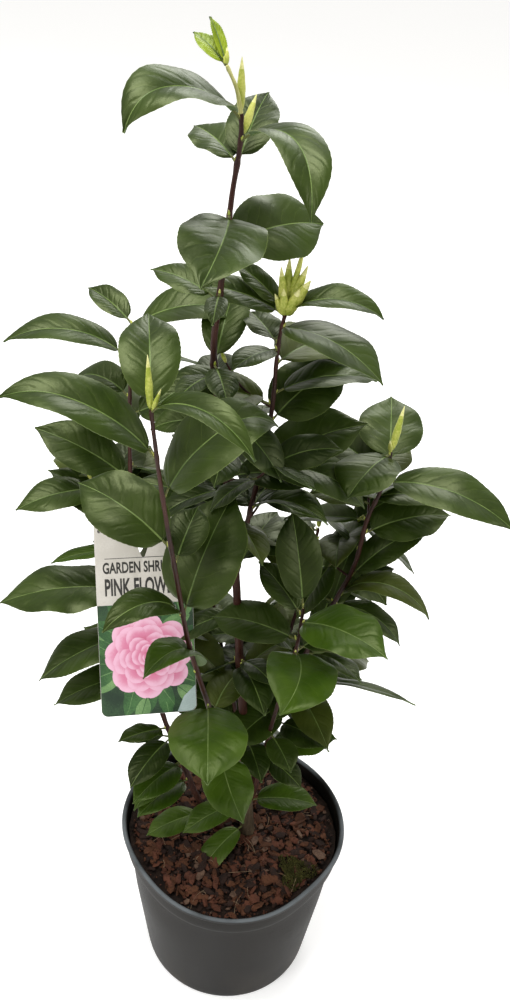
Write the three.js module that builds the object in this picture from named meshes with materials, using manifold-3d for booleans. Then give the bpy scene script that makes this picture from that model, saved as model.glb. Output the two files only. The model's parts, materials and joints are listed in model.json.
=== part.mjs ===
// Potted camellia shrub: a round nursery pot of compost, eight woody stems, a hanging plant label, and
// the masses of foliage round the stems. Millimetres, +Z up, origin at the middle of the pot's underside.
// Bearings are degrees anticlockwise from +X seen from above, so 270 is towards the viewer at -Y.

import * as THREE from "three";
import { mergeVertices } from "three/addons/utils/BufferGeometryUtils.js";
import Module from "manifold-3d";

const wasm = await Module();
wasm.setup();

// ---------------------------------------------------------------- driving dimensions
const gap = 0.4; // between neighbouring solids

const pot = {
  height: 180,
  baseRadius: 87,
  stepRadius: 106, // top of the tapered body, under the collar
  collarRadius: 110.5,
  lipRadius: 115,
  wall: 2,
  floor: 3,
  collarDepth: 27,
  lipDepth: 6,
  edge: 3, // chamfer round the underside
  sides: 28,
};
const soilLevel = 165;

const label = {
  width: 82,
  height: 175,
  thickness: 0.8,
  corner: 6,
  middle: [-87, -15, 470],
  lean: 32, // degrees back from upright
  turn: 11, // degrees about the vertical
  eye: { drop: 18, radius: 9, point: 12 }, // the hanging hole: a circle that runs down to a point
};

// Each stem is a smooth curve through its joints, from the compost or its parent up to its tip.
const stems = {
  main_stem: {
    route: [
      [15, 0, soilLevel + gap], [9, 0, 267], [-4, 0, 408], [-11, 5, 494], [-24, 10, 598],
      [-38, 10, 703], [-34, 0, 773], [-29, -10, 837], [-25, -10, 894], [-35, -20, 924],
    ],
    foot: 5.6, tip: 1.3, flare: 2.4, steps: 14,
  },
  left_rear_stem: {
    route: [
      [-12, 0, soilLevel + gap], [-33, 1, 200], [-52, 4, 255], [-82, 15, 347], [-107, 40, 500],
      [-107, 46, 568], [-107, 48, 644], [-103, 46, 712],
    ],
    foot: 3.6, tip: 1.6, flare: 1, steps: 10,
  },
  left_front_stem: {
    route: [
      [12, 0, 190], [6, -12, 221], [-15, -38, 330], [-31, -58, 421], [-44, -72, 486],
      [-55, -86, 575], [-64, -98, 652], [-71, -108, 730],
    ],
    foot: 3.6, tip: 1.7, flare: 0, steps: 10,
  },
  right_stem: {
    route: [
      [12, 2, 205], [15, 8, 226], [42, 20, 340], [67, 30, 430], [89, 35, 487],
      [98, 40, 551], [107, 35, 591], [107, 30, 623],
    ],
    foot: 3.4, tip: 1.7, flare: 0, steps: 10,
  },
  right_front_stem: {
    route: [[13, -1, 208], [17, -10, 230], [31, -20, 363], [44, -30, 456], [46, -30, 502]],
    foot: 3, tip: 1.5, flare: 0, steps: 7,
  },
  upper_right_bough: {
    route: [[-11, 5, 494], [-3, 10, 575], [3, 12, 606], [9, 15, 677], [9, 12, 717], [13, 10, 750]],
    foot: 2.7, tip: 1.6, flare: 0, steps: 7,
  },
  rear_left_stem: {
    route: [[10, 1, 232], [-5, 35, 305], [-30, 65, 400], [-45, 82, 480]],
    foot: 2.8, tip: 1.5, flare: 0, steps: 5,
  },
  rear_right_stem: {
    route: [[11, 1, 252], [30, 45, 335], [50, 72, 430], [60, 84, 500]],
    foot: 2.8, tip: 1.5, flare: 0, steps: 5,
  },
};

// Each mass of foliage gathers round a height on its stem. A lobe is [bearing, rise, reach], and fill is
// the reach of the smaller lobes that close the rest of the circle. Later masses are cut by earlier ones.
const masses = {
  crown_tip: {
    stem: "main_stem", height: 885, heart: 17, fill: 0,
    lobes: [[145, 75, 65], [224, 9, 90], [302, -20, 92], [123, -16, 61], [75, 8, 60]],
  },
  crown_upper: { stem: "main_stem", height: 820, heart: 20, fill: 45, lobes: [[258, -5, 86], [38, -10, 82]] },
  left_front_top: { stem: "left_front_stem", height: 705, heart: 22, fill: 0,
    lobes: [[100, 40, 90], [180, 14, 104], [322, 14, 84]] },
  left_rear_top: { stem: "left_rear_stem", height: 700, heart: 20, fill: 55,
    lobes: [[189, 0, 97], [141, 16, 60], [3, 10, 80]] },
  bough_top: { stem: "upper_right_bough", height: 735, heart: 24, fill: 45,
    lobes: [[177, 26, 70], [351, 9, 76], [328, -12, 84], [229, -14, 54], [80, 70, 60]] },
  right_top: { stem: "right_stem", height: 605, heart: 22, fill: 0,
    lobes: [[87, 28, 74], [240, 3, 62], [339, -15, 109]] },
  left_rear_lower: { stem: "left_rear_stem", height: 440, heart: 26, fill: 60,
    lobes: [[196, 5, 118], [210, -30, 105], [135, -15, 80]] },
  left_rear_upper: { stem: "left_rear_stem", height: 600, heart: 20, fill: 50,
    lobes: [[147, 32, 66], [178, -8, 72], [170, -30, 84]] },
  left_front_upper: { stem: "left_front_stem", height: 625, heart: 20, fill: 0,
    lobes: [[18, 42, 110], [150, -7, 82], [70, -20, 54], [270, -10, 40]] },
  left_front_middle: { stem: "left_front_stem", height: 520, heart: 18, fill: 0,
    lobes: [[60, 50, 108], [222, 22, 72], [300, 0, 45]] },
  left_front_lower: { stem: "left_front_stem", height: 420, heart: 20, fill: 0,
    lobes: [[231, 42, 84], [271, -10, 84], [10, -10, 50]] },
  crown_middle: { stem: "main_stem", height: 755, heart: 20, fill: 45,
    lobes: [[153, 13, 58], [268, 7, 44], [83, -9, 70]] },
  bough_middle: { stem: "upper_right_bough", height: 655, heart: 22, fill: 50,
    lobes: [[42, 25, 74], [169, 11, 70]] },
  bough_lower: { stem: "upper_right_bough", height: 600, heart: 24, fill: 45,
    lobes: [[10, 28, 90], [346, -5, 88], [43, -18, 72], [323, -6, 70]] },
  right_middle: { stem: "right_stem", height: 495, heart: 22, fill: 45,
    lobes: [[19, 27, 84], [35, -21, 56], [323, -17, 74], [83, 18, 60]] },
  right_front_top: { stem: "right_front_stem", height: 470, heart: 22, fill: 0,
    lobes: [[268, -5, 85], [325, 22, 80], [161, -8, 80], [112, 50, 95]] },
  right_lower: { stem: "right_stem", height: 400, heart: 22, fill: 50,
    lobes: [[343, 20, 90], [345, -12, 109]] },
  right_front_lower: { stem: "right_front_stem", height: 335, heart: 22, fill: 50,
    lobes: [[264, -4, 52], [262, 36, 92], [18, -18, 76]] },
  rear_left_upper: { stem: "rear_left_stem", height: 455, heart: 26, fill: 68, lobes: [[95, -5, 76]] },
  rear_right_upper: { stem: "rear_right_stem", height: 485, heart: 22, fill: 66, lobes: [[80, -5, 72]] },
  rear_left_lower: { stem: "rear_left_stem", height: 345, heart: 26, fill: 66, lobes: [[120, -10, 78]] },
  rear_right_lower: { stem: "rear_right_stem", height: 385, heart: 22, fill: 66, lobes: [[60, -12, 76]] },
  main_stem_middle: { stem: "main_stem", height: 440, heart: 24, fill: 50,
    lobes: [[200, 12, 60], [100, -10, 60], [292, -10, 74]] },
  foot_left: { stem: "left_rear_stem", height: 290, heart: 26, fill: 50,
    lobes: [[240, 2, 90], [215, 20, 80], [190, -25, 70]] },
  foot_right: { stem: "main_stem", height: 250, heart: 17, fill: 0,
    lobes: [[357, -15, 72], [275, 24, 80], [60, 0, 66], [100, -8, 60]] },
  foot_front: { stem: "main_stem", height: 205, heart: 16, fill: 0,
    lobes: [[207, -8, 70], [192, -10, 92], [230, -22, 62], [275, -14, 48]] },
};
const ballDetail = 2; // how finely the ball that each mass grows from is divided
const lobeSpread = 29; // degrees from a lobe's tip to where it has fallen to 1/e
const lobeFlatness = 1.5; // how much thinner a lobe is than it is wide
const fillEvery = 60;
const fillClearance = 42;

// ---------------------------------------------------------------- finishes
const finish = (color, roughness) => new THREE.MeshStandardMaterial({ color, roughness, metalness: 0 });
const finishes = {
  pot: finish(0x3a3d3e, 0.55),
  compost: finish(0x43291f, 0.95),
  bark: finish(0x3f2119, 0.75),
  label: finish(0xe9e3d6, 0.4),
  foliage: finish(0x2c4526, 0.4),
};

// ---------------------------------------------------------------- solids
const radians = (degrees) => (degrees * Math.PI) / 180;

function positionsOnly(geometry) {
  const bare = geometry.clone();
  for (const name of Object.keys(bare.attributes)) if (name !== "position") bare.deleteAttribute(name);
  return mergeVertices(bare, 1e-3);
}

function toSolid(geometry) {
  const merged = positionsOnly(geometry);
  return new wasm.Manifold(
    new wasm.Mesh({
      numProp: 3,
      vertProperties: new Float32Array(merged.attributes.position.array),
      triVerts: new Uint32Array(merged.index.array),
    }),
  );
}

function toGeometry(solid) {
  const mesh = solid.getMesh();
  const geometry = new THREE.BufferGeometry();
  geometry.setAttribute("position", new THREE.BufferAttribute(new Float32Array(mesh.vertProperties), 3));
  geometry.setIndex(new THREE.BufferAttribute(new Uint32Array(mesh.triVerts), 1));
  return geometry;
}

function largestPiece(solid) {
  return solid.decompose().reduce((best, piece) => (piece.volume() > best.volume() ? piece : best));
}

// A tall stack of level rings with flat ends, from rings of points that all run anticlockwise.
function stackOfRings(rings) {
  const sides = rings[0].length;
  const faces = [];
  for (let ring = 0; ring + 1 < rings.length; ring += 1) {
    for (let side = 0; side < sides; side += 1) {
      const here = ring * sides + side;
      const next = ring * sides + ((side + 1) % sides);
      faces.push(here, next, next + sides, here, next + sides, here + sides);
    }
  }
  const top = (rings.length - 1) * sides;
  for (let side = 1; side + 1 < sides; side += 1) {
    faces.push(0, side + 1, side, top, top + side, top + side + 1);
  }
  const geometry = new THREE.BufferGeometry();
  geometry.setAttribute("position", new THREE.Float32BufferAttribute(rings.flat(2), 3));
  geometry.setIndex(faces);
  return geometry;
}

// ---------------------------------------------------------------- pot and compost
const collarFoot = pot.height - pot.lipDepth - pot.collarDepth;
const bodyRadius = (z) => pot.baseRadius + ((pot.stepRadius - pot.baseRadius) * z) / collarFoot;

function turned(profile) {
  const points = profile.map(([radius, z]) => new THREE.Vector2(radius, z));
  return new THREE.LatheGeometry(points, pot.sides).rotateX(Math.PI / 2);
}

function potShell() {
  const rise = pot.collarRadius - pot.stepRadius;
  return turned([
    [0, 0],
    [pot.baseRadius - pot.edge, 0],
    [bodyRadius(pot.edge), pot.edge],
    [pot.stepRadius, collarFoot],
    [pot.collarRadius, collarFoot + rise],
    [pot.collarRadius, pot.height - pot.lipDepth],
    [pot.lipRadius, pot.height - pot.lipDepth],
    [pot.lipRadius, pot.height],
    [pot.collarRadius - pot.wall, pot.height],
    [pot.collarRadius - pot.wall, collarFoot + rise],
    [pot.stepRadius - pot.wall, collarFoot],
    [bodyRadius(pot.floor) - pot.wall, pot.floor],
    [0, pot.floor],
  ]);
}

function compostFill() {
  const inset = pot.wall + gap;
  const rise = pot.collarRadius - pot.stepRadius;
  return turned([
    [0, pot.floor + gap],
    [bodyRadius(pot.floor) - inset, pot.floor + gap],
    [pot.stepRadius - inset, collarFoot],
    [pot.collarRadius - inset, collarFoot + rise + gap],
    [pot.collarRadius - inset, soilLevel],
    [0, soilLevel],
  ]);
}

// ---------------------------------------------------------------- stems
const stemSides = 6;

function routeOf(stem) {
  return new THREE.CatmullRomCurve3(stem.route.map((point) => new THREE.Vector3(...point)));
}

// Thickest at the foot, thinning evenly to the tip, with a short flare where it leaves the compost.
function thickness(stem, along) {
  return stem.tip + (stem.foot - stem.tip) * (1 - along) + stem.flare * Math.exp(-along * 40);
}

function stemShape(stem, extra = 0) {
  const route = routeOf(stem);
  const rings = Array.from({ length: stem.steps + 1 }, (_, step) => {
    const along = step / stem.steps;
    const middle = route.getPoint(along);
    const radius = thickness(stem, along) + extra;
    return Array.from({ length: stemSides }, (__, side) => {
      const turn = (2 * Math.PI * side) / stemSides;
      return [middle.x + radius * Math.cos(turn), middle.y + radius * Math.sin(turn), middle.z];
    });
  });
  return stackOfRings(rings);
}

function pointAtHeight(stem, height) {
  const samples = routeOf(stem).getPoints(400);
  return samples.reduce((best, p) => (Math.abs(p.z - height) < Math.abs(best.z - height) ? p : best));
}

// ---------------------------------------------------------------- label
function labelOutline(grow) {
  const { width, height, corner } = label;
  const x = width / 2 + grow;
  const y = height / 2 + grow;
  const shape = new THREE.Shape();
  shape.moveTo(-x + corner, -y).lineTo(x - corner, -y).absarc(x - corner, -y + corner, corner, -Math.PI / 2, 0);
  shape.lineTo(x, y - corner).absarc(x - corner, y - corner, corner, 0, Math.PI / 2);
  shape.lineTo(-x + corner, y).absarc(-x + corner, y - corner, corner, Math.PI / 2, Math.PI);
  shape.lineTo(-x, -y + corner).absarc(-x + corner, -y + corner, corner, Math.PI, 1.5 * Math.PI);
  return shape;
}

function eyeOutline() {
  const { drop, radius, point } = label.eye;
  const y = label.height / 2 - drop;
  const hole = new THREE.Path();
  hole.moveTo(0, y - radius - point).lineTo(radius, y).absarc(0, y, radius, 0, Math.PI);
  return hole.lineTo(0, y - radius - point);
}

function labelCard(grow = 0) {
  const shape = labelOutline(grow);
  if (grow === 0) shape.holes.push(eyeOutline());
  const depth = label.thickness + 2 * grow;
  return new THREE.ExtrudeGeometry(shape, { depth, bevelEnabled: false, curveSegments: 4 })
    .translate(0, 0, -depth / 2)
    .rotateX(radians(90 - label.lean))
    .rotateZ(radians(label.turn))
    .translate(...label.middle);
}

// ---------------------------------------------------------------- foliage
function towards(bearing, rise) {
  const level = Math.cos(radians(rise));
  return new THREE.Vector3(
    level * Math.cos(radians(bearing)),
    level * Math.sin(radians(bearing)),
    Math.sin(radians(rise)),
  );
}

const turnBetween = (a, b) => Math.abs(((a - b + 540) % 360) - 180);

// The named lobes, with smaller ones wherever the circle has room for them.
function lobesOf(mass) {
  const lobes = [...mass.lobes];
  for (let bearing = 0; mass.fill > 0 && bearing < 360; bearing += fillEvery) {
    if (mass.lobes.every(([named]) => turnBetween(named, bearing) > fillClearance)) {
      lobes.push([bearing, (bearing % 40) - 20, mass.fill]);
    }
  }
  return lobes;
}

function reachTowards(direction, mass, lobes) {
  const bearing = THREE.MathUtils.radToDeg(Math.atan2(direction.y, direction.x));
  const rise = THREE.MathUtils.radToDeg(Math.asin(THREE.MathUtils.clamp(direction.z, -1, 1)));
  const heart = mass.heart * (1 + 0.12 * Math.sin(radians(3 * bearing + 2 * rise)));
  return lobes.reduce((most, [lobeBearing, lobeRise, reach]) => {
    const across = turnBetween(bearing, lobeBearing) * Math.cos(radians((rise + lobeRise) / 2));
    const away = Math.hypot(across, (rise - lobeRise) * lobeFlatness) / lobeSpread;
    return Math.max(most, heart + (reach - heart) * Math.exp(-away * away));
  }, heart);
}

// A ball pushed out along its lobes, with one corner of it set exactly on each lobe's tip.
function foliageShape(mass, grow = 0) {
  const lobes = lobesOf(mass);
  const ball = positionsOnly(new THREE.IcosahedronGeometry(1, ballDetail));
  const places = ball.attributes.position;
  const directions = Array.from({ length: places.count }, (_, i) =>
    new THREE.Vector3().fromBufferAttribute(places, i).normalize(),
  );
  const taken = new Set();
  for (const [bearing, rise] of lobes) {
    const aim = towards(bearing, rise);
    const order = directions.map((d, i) => [d.distanceTo(aim), i]).filter(([, i]) => !taken.has(i));
    const nearest = order.reduce((best, entry) => (entry[0] < best[0] ? entry : best))[1];
    taken.add(nearest);
    directions[nearest].copy(aim);
  }
  const middle = pointAtHeight(stems[mass.stem], mass.height);
  directions.forEach((direction, i) => {
    const place = direction.clone().multiplyScalar(reachTowards(direction, mass, lobes) + grow).add(middle);
    places.setXYZ(i, place.x, place.y, Math.max(place.z, soilLevel + 3 * gap - grow));
  });
  return ball;
}

// ---------------------------------------------------------------- assembly
const shrub = new THREE.Group();

function place(name, geometry, material) {
  const mesh = new THREE.Mesh(geometry, material);
  mesh.name = name;
  shrub.add(mesh);
}

place("pot", potShell(), finishes.pot);
place("compost", compostFill(), finishes.compost);
place("label", labelCard(), finishes.label);

const cutters = [toSolid(labelCard(2 * gap))];
let parents = null;
for (const [name, stem] of Object.entries(stems)) {
  const whole = toSolid(stemShape(stem));
  const cut = parents ? largestPiece(whole.subtract(parents)) : whole;
  place(name, toGeometry(cut), finishes.bark);
  const grown = toSolid(stemShape(stem, gap));
  parents = parents ? parents.add(grown) : grown;
  cutters.push(grown);
}

let occupied = cutters.reduce((all, cutter) => all.add(cutter));
for (const [name, mass] of Object.entries(masses)) {
  const free = largestPiece(toSolid(foliageShape(mass)).subtract(occupied));
  place(`${name}_foliage`, toGeometry(free), finishes.foliage);
  occupied = occupied.add(toSolid(foliageShape(mass, 2 * gap)));
}

export default shrub;
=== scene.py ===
"""A young camellia in its nursery pot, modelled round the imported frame.

The stems are grown along the frame's own stem solids, the leaves leave them at named heights and
bearings, and a seeded rule fills the sides that the named leaves leave open. Lengths in the tables are
millimetres and angles are degrees. Bearings run anticlockwise from +X as seen from above.
"""

import json
import logging
import math
from collections.abc import Callable, Iterator, Sequence
from contextlib import contextmanager
from dataclasses import dataclass, field
from enum import Enum

import bpy
import numpy as np
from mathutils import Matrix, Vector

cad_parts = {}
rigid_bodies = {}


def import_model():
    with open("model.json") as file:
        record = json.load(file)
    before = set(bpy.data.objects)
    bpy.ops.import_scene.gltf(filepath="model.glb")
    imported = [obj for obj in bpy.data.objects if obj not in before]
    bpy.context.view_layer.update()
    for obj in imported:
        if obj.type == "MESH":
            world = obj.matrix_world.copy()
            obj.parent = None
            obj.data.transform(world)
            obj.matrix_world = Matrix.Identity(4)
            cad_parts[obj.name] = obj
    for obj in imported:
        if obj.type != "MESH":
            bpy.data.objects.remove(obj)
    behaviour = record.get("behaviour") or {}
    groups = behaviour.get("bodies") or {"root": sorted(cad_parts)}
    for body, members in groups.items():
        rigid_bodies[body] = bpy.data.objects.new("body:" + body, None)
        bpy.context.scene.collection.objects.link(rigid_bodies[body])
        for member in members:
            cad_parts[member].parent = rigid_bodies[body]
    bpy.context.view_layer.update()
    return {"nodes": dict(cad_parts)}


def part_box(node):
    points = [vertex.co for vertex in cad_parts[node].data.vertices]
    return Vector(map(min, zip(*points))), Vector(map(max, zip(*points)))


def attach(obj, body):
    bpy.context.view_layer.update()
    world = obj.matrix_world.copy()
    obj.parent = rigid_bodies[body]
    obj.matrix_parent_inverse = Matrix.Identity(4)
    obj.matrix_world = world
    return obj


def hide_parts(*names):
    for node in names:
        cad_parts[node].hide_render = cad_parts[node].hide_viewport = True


LOG = logging.getLogger("camellia")
ROOT = "root"
MM = 0.001
GOLDEN = 137.508  # degrees from one leaf of a spiral to the next
Colour = tuple[float, float, float]
Materials = dict[str, bpy.types.Material]
PATTERN_MAP = "blade"  # the map that leaves and petals carry, across and along each one


# ------------------------------------------------------------------ shader arithmetic
class Signal:
    """A node socket that takes part in arithmetic: each operator adds a Math node."""

    def __init__(self, canvas: "Canvas", socket: bpy.types.NodeSocket) -> None:
        """Keeps the socket and the canvas that its new nodes go on."""
        self.canvas = canvas
        self.socket = socket

    def _maths(self, operation: str, *values: "Signal | float") -> "Signal":
        """Adds one Math node.

        Args:
            operation: The node's operation.
            values: What goes into its sockets, in order.

        Returns:
            The node's result.
        """
        return self.canvas.node("ShaderNodeMath", {"operation": operation}, dict(enumerate(values)))

    def __add__(self, other: "Signal | float") -> "Signal":
        """Adds."""
        return self._maths("ADD", self, other)

    def __sub__(self, other: "Signal | float") -> "Signal":
        """Subtracts."""
        return self._maths("SUBTRACT", self, other)

    def __rsub__(self, other: float) -> "Signal":
        """Subtracts from a number."""
        return self._maths("SUBTRACT", other, self)

    def __mul__(self, other: "Signal | float") -> "Signal":
        """Multiplies."""
        return self._maths("MULTIPLY", self, other)

    def __abs__(self) -> "Signal":
        """Drops the sign."""
        return self._maths("ABSOLUTE", self)

    __radd__ = __add__
    __rmul__ = __mul__

    def fraction(self) -> "Signal":
        """Keeps what is past the last whole number."""
        return self._maths("FRACT", self)

    def sine(self) -> "Signal":
        """Takes the sine."""
        return self._maths("SINE", self)

    def rising(self, low: float, high: float) -> "Signal":
        """Goes smoothly from 0 at low to 1 at high.

        Args:
            low: Where it leaves 0.
            high: Where it reaches 1.

        Returns:
            A signal between 0 and 1.
        """
        settings = {"interpolation_type": "SMOOTHSTEP"}
        return self.canvas.node("ShaderNodeMapRange", settings, {"Value": self, 1: low, 2: high})


class Canvas:
    """One material's node tree while its finish is put together."""

    def __init__(self, name: str) -> None:
        """Makes an empty material that holds only its shader.

        Args:
            name: The material's name.
        """
        self.material = bpy.data.materials.new(name)
        self.material.use_nodes = True
        self.tree = self.material.node_tree
        self.shader = self.tree.nodes["Principled BSDF"]

    def node(
        self,
        kind: str,
        settings: dict | None = None,
        values: dict | None = None,
        out: int | str = 0,
    ) -> Signal:
        """Adds a node of any type.

        Args:
            kind: The node's type.
            settings: Its own properties.
            values: What goes into its sockets, by name or number.
            out: The output that is handed back.

        Returns:
            That output.
        """
        made = self.tree.nodes.new(kind)
        for key, value in (settings or {}).items():
            setattr(made, key, value)
        for key, value in (values or {}).items():
            self.feed(made.inputs[key], value)
        return Signal(self, made.outputs[out])

    def feed(self, socket: bpy.types.NodeSocket, value: "Signal | float | Colour") -> None:
        """Links a signal to a socket, or sets the socket to a plain value.

        Args:
            socket: The socket.
            value: A signal, a number or a colour.
        """
        if isinstance(value, Signal):
            self.tree.links.new(value.socket, socket)
        elif isinstance(value, tuple) and socket.type == "RGBA":
            socket.default_value = (*value, 1.0)
        else:
            socket.default_value = value

    def place(self) -> Signal:
        """The point on the piece, in metres in the frame."""
        return self.node("ShaderNodeTexCoord", out="Object")

    def coordinates(self, spot: Signal) -> list[Signal]:
        """Splits a place into its coordinates."""
        split = self.node("ShaderNodeSeparateXYZ", {}, {0: spot}).socket.node
        return [Signal(self, output) for output in split.outputs]

    def across_and_along(self) -> list[Signal]:
        """The two coordinates of the pattern map that a piece carries."""
        return self.coordinates(self.node("ShaderNodeUVMap", {"uv_map": PATTERN_MAP}))[:2]

    def noise(self, scale: float, detail: float = 3.0, stretch: Colour = (1, 1, 1)) -> Signal:
        """Cloudy noise on the piece's own place.

        Args:
            scale: Cells to the metre.
            detail: Octaves.
            stretch: How much denser the cells are along X, Y and Z.

        Returns:
            Values round 0.5.
        """
        spot = self.node("ShaderNodeMapping", {}, {"Vector": self.place(), "Scale": stretch})
        return self.node("ShaderNodeTexNoise", {}, {"Vector": spot, "Scale": scale, "Detail": detail})

    def mix(
        self, share: "Signal | float", first: "Signal | Colour", second: "Signal | Colour"
    ) -> Signal:
        """Blends two colours.

        Args:
            share: How much of the second, from 0 to 1.
            first: The colour at 0.
            second: The colour at 1.

        Returns:
            The blended colour.
        """
        return self.node("ShaderNodeMix", {"data_type": "RGBA"}, {0: share, 6: first, 7: second}, 2)

    def relief(self, height: Signal, depth: float) -> None:
        """Roughens the surface by a bump.

        Args:
            height: The relief, from 0 to 1.
            depth: How deep it is, in metres.
        """
        bump = self.node("ShaderNodeBump", {}, {"Height": height, "Distance": depth, "Strength": 1.0})
        self.feed(self.shader.inputs["Normal"], bump)

    def finish(self, **sockets: "Signal | float | Colour") -> bpy.types.Material:
        """Sets the shader's sockets and hands the material over.

        Args:
            sockets: Values by socket name, with underscores for spaces.

        Returns:
            The finished material.
        """
        for name, value in sockets.items():
            self.feed(self.shader.inputs[name.replace("_", " ")], value)
        return self.material


# ------------------------------------------------------------------ finishes
@dataclass(frozen=True)
class LeafFinish:
    """The glossy upper side of a leaf, with faint side veins and a painted highlight along its rim."""

    name: str
    deep: Colour
    fresh: Colour
    vein: Colour
    gloss: float = 0.33

    def material(self) -> bpy.types.Material:
        """Builds the node material.

        Returns:
            The material.
        """
        c = Canvas(self.name)
        across, along = c.across_and_along()
        side = abs(across - 0.5) * 2.0
        cloud = c.noise(34.0, 3.0)
        waver = c.noise(95.0, 2.0)
        fleck = c.noise(520.0, 3.0)
        beat = (along * 7.5 - side * 1.9 + waver * 0.55).fraction()
        ridge = abs(beat - 0.5) * 2.0
        inner = side.rising(0.03, 0.12) * (1.0 - side.rising(0.60, 0.92))
        vein = ridge.rising(0.93, 1.0) * inner * waver.rising(0.34, 0.60)
        body = c.mix(cloud.rising(0.34, 0.66), self.deep, self.fresh)
        mottled = c.mix(fleck.rising(0.50, 0.72) * 0.30, body, self.fresh)
        veined = c.mix(vein * 0.22, mottled, self.vein)
        # painted highlight: the outermost strip of the blade is lightened towards the vein colour, where
        # the edge catches the light
        edge_highlighted = c.mix(side.rising(0.965, 1.0) * 0.45, veined, self.vein)
        c.relief(ridge.rising(0.45, 1.0) * inner * -0.45 + fleck * 0.25 + waver * 0.35 + 0.3, 0.00038)
        return c.finish(
            Base_Color=edge_highlighted,
            Roughness=fleck * 0.12 + cloud * 0.14 + (self.gloss - 0.13),
            Specular_IOR_Level=0.42,
            Specular_Tint=(0.90, 1.0, 0.52),
        )


@dataclass(frozen=True)
class MatteFinish:
    """A plain organic surface: one colour broken by two scales of noise, with a fine relief."""

    name: str
    dark: Colour
    light: Colour
    roughness: float = 0.6
    scale: float = 120.0
    stretch: Colour = (1.0, 1.0, 1.0)
    depth: float = 0.0003
    speck: Colour | None = None

    def material(self) -> bpy.types.Material:
        """Builds the node material.

        Returns:
            The material.
        """
        c = Canvas(self.name)
        broad = c.noise(self.scale * 0.3, 3.0, self.stretch)
        fine = c.noise(self.scale * 2.4, 4.0, self.stretch)
        colour = c.mix((broad * 0.65 + fine * 0.35).rising(0.36, 0.64), self.dark, self.light)
        if self.speck:
            colour = c.mix(c.noise(self.scale * 6.0, 1.0).rising(0.68, 0.74), colour, self.speck)
        c.relief(broad * 0.5 + fine * 0.5, self.depth)
        gloss = broad * 0.16 + (self.roughness - 0.08)
        return c.finish(Base_Color=colour, Roughness=gloss, Specular_IOR_Level=0.25)


@dataclass(frozen=True)
class PotFinish:
    """Satin moulded plastic with fine grain and mould rings, scuffs, a painted highlight along the lip and
    dust near the foot.
    """

    name: str = "anthracite_plastic"
    body: Colour = (0.0050, 0.0044, 0.0036)
    worn: Colour = (0.0128, 0.0112, 0.0092)
    dust: Colour = (0.052, 0.044, 0.036)
    # painted highlight: the bluish grey that the top of the lip is lightened to
    lip: Colour = (0.13, 0.145, 0.155)
    lip_height: float = 0.18

    def material(self) -> bpy.types.Material:
        """Builds the node material.

        Returns:
            The material.
        """
        c = Canvas(self.name)
        height = c.coordinates(c.place())[2]
        smear = c.noise(14.0, 4.0, (1.0, 1.0, 0.35))
        scuff = c.noise(60.0, 5.0, (1.0, 1.0, 7.0)).rising(0.62, 0.74)
        grain = c.noise(2600.0, 1.0)
        low = 1.0 - height.rising(0.0, 0.07)
        base = c.mix(smear.rising(0.40, 0.72) * 0.55, self.body, self.worn)
        scuffed = c.mix(scuff * 0.22, base, self.worn)
        dust_and_lip_highlight = c.mix(low * smear.rising(0.42, 0.60) * 0.45, scuffed, self.dust)
        # painted highlight: the top few millimetres of the lip are lightened in patches to a bluish grey
        lip_highlight_band = height.rising(self.lip_height - 0.0032, self.lip_height - 0.0004)
        dust_and_lip_highlight = c.mix(lip_highlight_band * smear.rising(0.25, 0.60), dust_and_lip_highlight, self.lip)
        rings = (height * 5200.0).sine() * 0.10
        c.relief(grain * 0.6 + rings + smear * 0.3, 0.00012)
        gloss = smear * 0.22 + scuff * 0.10 + 0.36
        return c.finish(
            Base_Color=dust_and_lip_highlight, Roughness=gloss, Specular_IOR_Level=0.10, Specular_Tint=(1.0, 0.93, 0.85)
        )


@dataclass(frozen=True)
class CardFinish:
    """Glossy printed plastic card with faint mottling of its ink."""

    name: str
    ink: Colour
    shade: Colour
    roughness: float = 0.28

    def material(self) -> bpy.types.Material:
        """Builds the node material.

        Returns:
            The material.
        """
        c = Canvas(self.name)
        cloud = c.noise(55.0, 4.0)
        speck = c.noise(900.0, 2.0)
        colour = c.mix((cloud * 0.7 + speck * 0.3).rising(0.40, 0.66), self.ink, self.shade)
        c.relief(speck, 0.00003)
        return c.finish(Base_Color=colour, Roughness=cloud * 0.10 + self.roughness, Coat_Weight=0.25)


@dataclass(frozen=True)
class StudioFinish:
    """The pale floor under the pot."""

    name: str = "pale_floor"
    tone: Colour = (0.86, 0.86, 0.855)
    shade: Colour = (0.83, 0.83, 0.825)
    glow: float = 0.41

    def material(self) -> bpy.types.Material:
        """Builds the node material.

        Returns:
            The material.
        """
        c = Canvas(self.name)
        cloud = c.noise(1.4, 3.0)
        colour = c.mix(cloud * 0.3, self.tone, self.shade)
        return c.finish(
            Base_Color=colour,
            Roughness=0.7,
            Emission_Color=(1.0, 1.0, 0.995),
            Emission_Strength=self.glow,
        )


class Tone(Enum):
    """How a leaf is coloured, by its age and place on the shrub."""

    DEEP = 0
    DARK = 1
    OLIVE = 2
    FRESH = 3
    YOUNG = 4


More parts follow.
